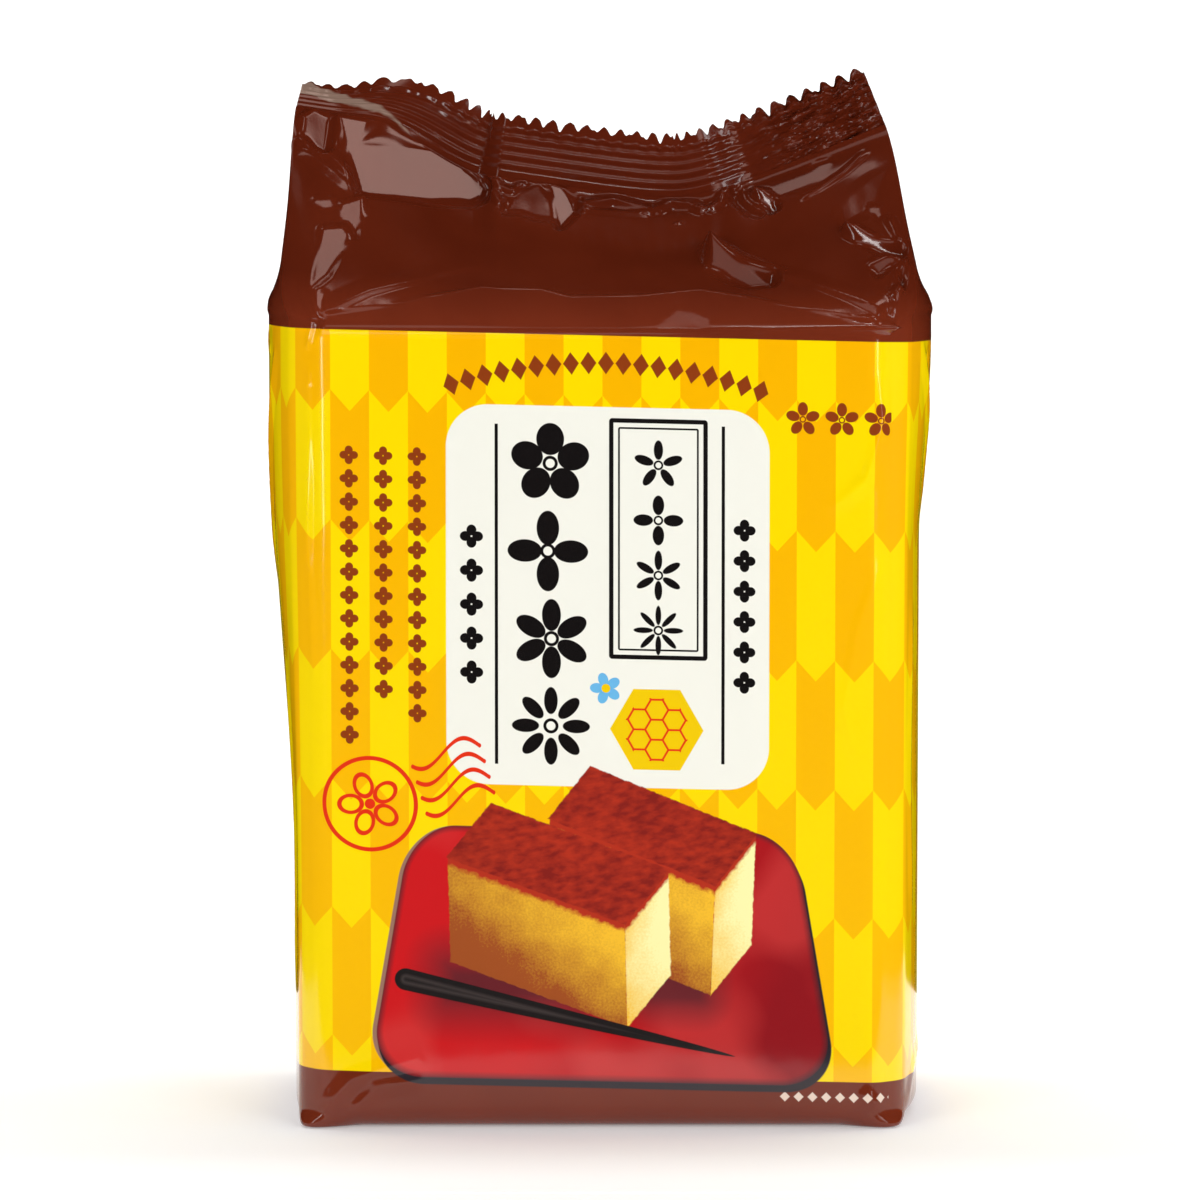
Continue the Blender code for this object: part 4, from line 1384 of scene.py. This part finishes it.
root_line, root_normals, _ = back_line(0.0)
edge_line, edge_normals, _ = back_line(SEAM_WIDTH)
seam_rows = slice(4, len(film_up) - 2)
toward_edge = (edge_line - root_line)[seam_rows]
seam_width = np.linalg.norm(toward_edge, axis=1, keepdims=True)
toward_edge = toward_edge / seam_width
out = root_normals[seam_rows]
seam_foot = root_line[seam_rows] + out * 0.00045
pieces.append(press_strip("back_seam", seam_foot, toward_edge, out, SEAM_WIDTH, 0.0004, 24,
                          (FILM_GIRTH / 2 - SEAM_WIDTH, film_up[4]), GROUND_FILM, turned=True, rib_count=9.0, rib_start=0.0012, rib_pitch=0.0010, rib_depth=0.00012,
                          tooth_pitch=1.0, tooth_height=0.0))

# %% Tie the pieces to the frame
for piece in pieces:
    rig.ride(piece, "root")
    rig.slot(piece, "film")
    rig.replaces(piece, PACK)

# %% [markdown]
# ## The studio
# Glossy film shows its lamps, so most of them are small and show only in gloss. Two at the sides draw
# bright lines down the pack's round edges, and those overhead lie in the roof's facets. Four wide lamps
# that no gloss shows fill the front and the sides.

# %% Floor, backdrop and their light
def plain_material(name, colour, roughness):
    material = bpy.data.materials.new(name)
    material.use_nodes = True
    tree = material.node_tree
    shader = tree.nodes["Principled BSDF"]
    noise = tree.nodes.new("ShaderNodeTexNoise")
    noise.inputs["Scale"].default_value = 6.0
    share = Wire(tree, noise.outputs["Fac"])
    join(tree, shader.inputs["Base Color"], lay(tree, colour, tuple(c * 0.98 for c in colour[:3]) + (1.0,), share))
    shader.inputs["Roughness"].default_value = roughness
    shader.inputs["Specular IOR Level"].default_value = 0.1
    shader.inputs["Emission Color"].default_value = colour
    shader.inputs["Emission Strength"].default_value = 0.3
    return material


def sweep():
    """A floor that curves up into a wall behind the pack."""
    profile = [(-1.6, -0.0004), (0.9, -0.0004)]
    profile += [(0.9 + 0.6 * math.sin(a), 0.6 - 0.6 * math.cos(a)) for a in np.linspace(0.1, math.pi / 2, 12)]
    profile += [(1.5, 2.6)]
    places = [(x, y, z) for y, z in profile for x in (-2.2, 2.2)]
    faces = [(2 * i, 2 * i + 1, 2 * i + 3, 2 * i + 2) for i in range(len(profile) - 1)]
    mesh = bpy.data.meshes.new("studio_sweep")
    mesh.from_pydata(places, [], faces)
    mesh.shade_smooth()
    mesh.materials.append(plain_material("pale_paper", (0.86, 0.86, 0.86, 1.0), 0.9))
    piece = bpy.data.objects.new("studio_sweep", mesh)
    bpy.context.scene.collection.objects.link(piece)
    return piece


floor = sweep()
floor.visible_glossy = False
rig.stage(floor)


def table_sheet():
    """A sheet of paper that the pack stands on. It lies in the gloss of the brown band over it."""
    places = [(-0.2, -0.085, -0.0002), (0.2, -0.085, -0.0002), (0.2, 0.12, -0.0002), (-0.2, 0.12, -0.0002)]
    mesh = bpy.data.meshes.new("table_sheet")
    mesh.from_pydata(places, [], [(0, 1, 2, 3)])
    mesh.materials.append(bpy.data.materials["pale_paper"])
    piece = bpy.data.objects.new("table_sheet", mesh)
    bpy.context.scene.collection.objects.link(piece)
    return piece


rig.stage(table_sheet())


def aim(thing, place, target):
    thing.location = place
    away = np.array(target) - np.array(place)
    flat = math.hypot(away[0], away[1])
    thing.rotation_euler = (math.pi / 2 + math.atan2(away[2], flat), 0.0, math.atan2(-away[0], away[1]))


def softbox(name, place, target, width, height, glow, shows, tint=(1.0, 1.0, 1.0)):
    """A rectangular lamp, as bright as glow times white paper in full light. One that shows in the gloss
    lights nothing else, and one that lights the pack doesn't show, so each is set on its own."""
    lamp = bpy.data.lights.new(name, "AREA")
    lamp.shape = "RECTANGLE"
    lamp.size, lamp.size_y = width, height
    lamp.energy = glow * math.pi * width * height
    lamp.color = tint
    thing = bpy.data.objects.new(name, lamp)
    bpy.context.scene.collection.objects.link(thing)
    aim(thing, place, target)
    thing.visible_glossy, thing.visible_diffuse = shows, not shows
    return thing


MIDDLE = (0.0, 0.0, 0.09)
SEAL_AT = (0.0, 0.0, 0.16)
WARM = (1.0, 0.74, 0.66)
softbox("left_strip", (-0.72, -0.79, 0.45), MIDDLE, 0.07, 0.86, 10.0, True)
softbox("right_strip", (0.68, -0.81, 0.47), MIDDLE, 0.08, 0.84, 6.0, True)
softbox("front_soft", (0.0, -0.66, 0.90), SEAL_AT, 0.60, 0.22, 1.2, True, WARM)
softbox("front_bright", (0.13, -0.74, 0.86), SEAL_AT, 0.16, 0.05, 16.0, True)
softbox("top_right", (0.443, -0.161, 1.086), SEAL_AT, 0.18, 0.18, 4.2, True, WARM)
softbox("top_front", (0.0, -0.33, 1.10), SEAL_AT, 0.16, 0.12, 3.4, True, WARM)
softbox("top_left", (-0.27, -0.03, 1.11), SEAL_AT, 0.13, 0.13, 2.2, True, WARM)
softbox("right_soft", (0.36, -0.85, 0.37), SEAL_AT, 0.34, 0.24, 2.6, True, WARM)
softbox("fill_left", (-1.0, -1.25, 0.50), MIDDLE, 0.9, 0.8, 4.6, False)
softbox("fill_right", (1.0, -1.25, 0.50), MIDDLE, 0.9, 0.8, 4.6, False)
softbox("right_fill", (1.1, -0.1, 0.4), MIDDLE, 0.8, 0.8, 1.9, False)
softbox("left_fill", (-1.1, 0.1, 0.4), MIDDLE, 0.8, 0.8, 0.6, False)
softbox("backdrop_light", (0.0, 0.3, 1.5), (0.0, 1.5, 0.5), 2.4, 0.5, 6.0, False)

# %% Sky, camera and colour
world = bpy.data.worlds.new("pale_room")
world.use_nodes = True
sky = world.node_tree
background = sky.nodes["Background"]
path = sky.nodes.new("ShaderNodeLightPath")
background.inputs["Color"].default_value = (1.0, 1.0, 1.0, 1.0)
join(sky, background.inputs["Strength"], Wire(sky, path.outputs["Is Camera Ray"]) * 0.82 + 0.18)
world.cycles_visibility.glossy = False
scene = bpy.context.scene
scene.world = world
scene.view_settings.view_transform = "Standard"

CAMERA_DISTANCE, CAMERA_ELEVATION = 0.900, math.radians(4.5)
TARGET = (0.0, 0.0, 0.08805)
FRAME_WIDTH = 0.210
camera = bpy.data.objects.new("camera", bpy.data.cameras.new("camera"))
camera.data.lens = camera.data.sensor_width * CAMERA_DISTANCE / FRAME_WIDTH
scene.collection.objects.link(camera)
aim(camera, (0.0, -CAMERA_DISTANCE * math.cos(CAMERA_ELEVATION),
             TARGET[2] + CAMERA_DISTANCE * math.sin(CAMERA_ELEVATION)), TARGET)
scene.camera = camera

# %% Write both boxes, and close
import json

with open("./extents.json", "w") as file:
    json.dump({"cad": [list(corner) for corner in CAD_BOX], "visual": [list(c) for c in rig.bounds()]}, file)
print("sizes:", open("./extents.json").read())
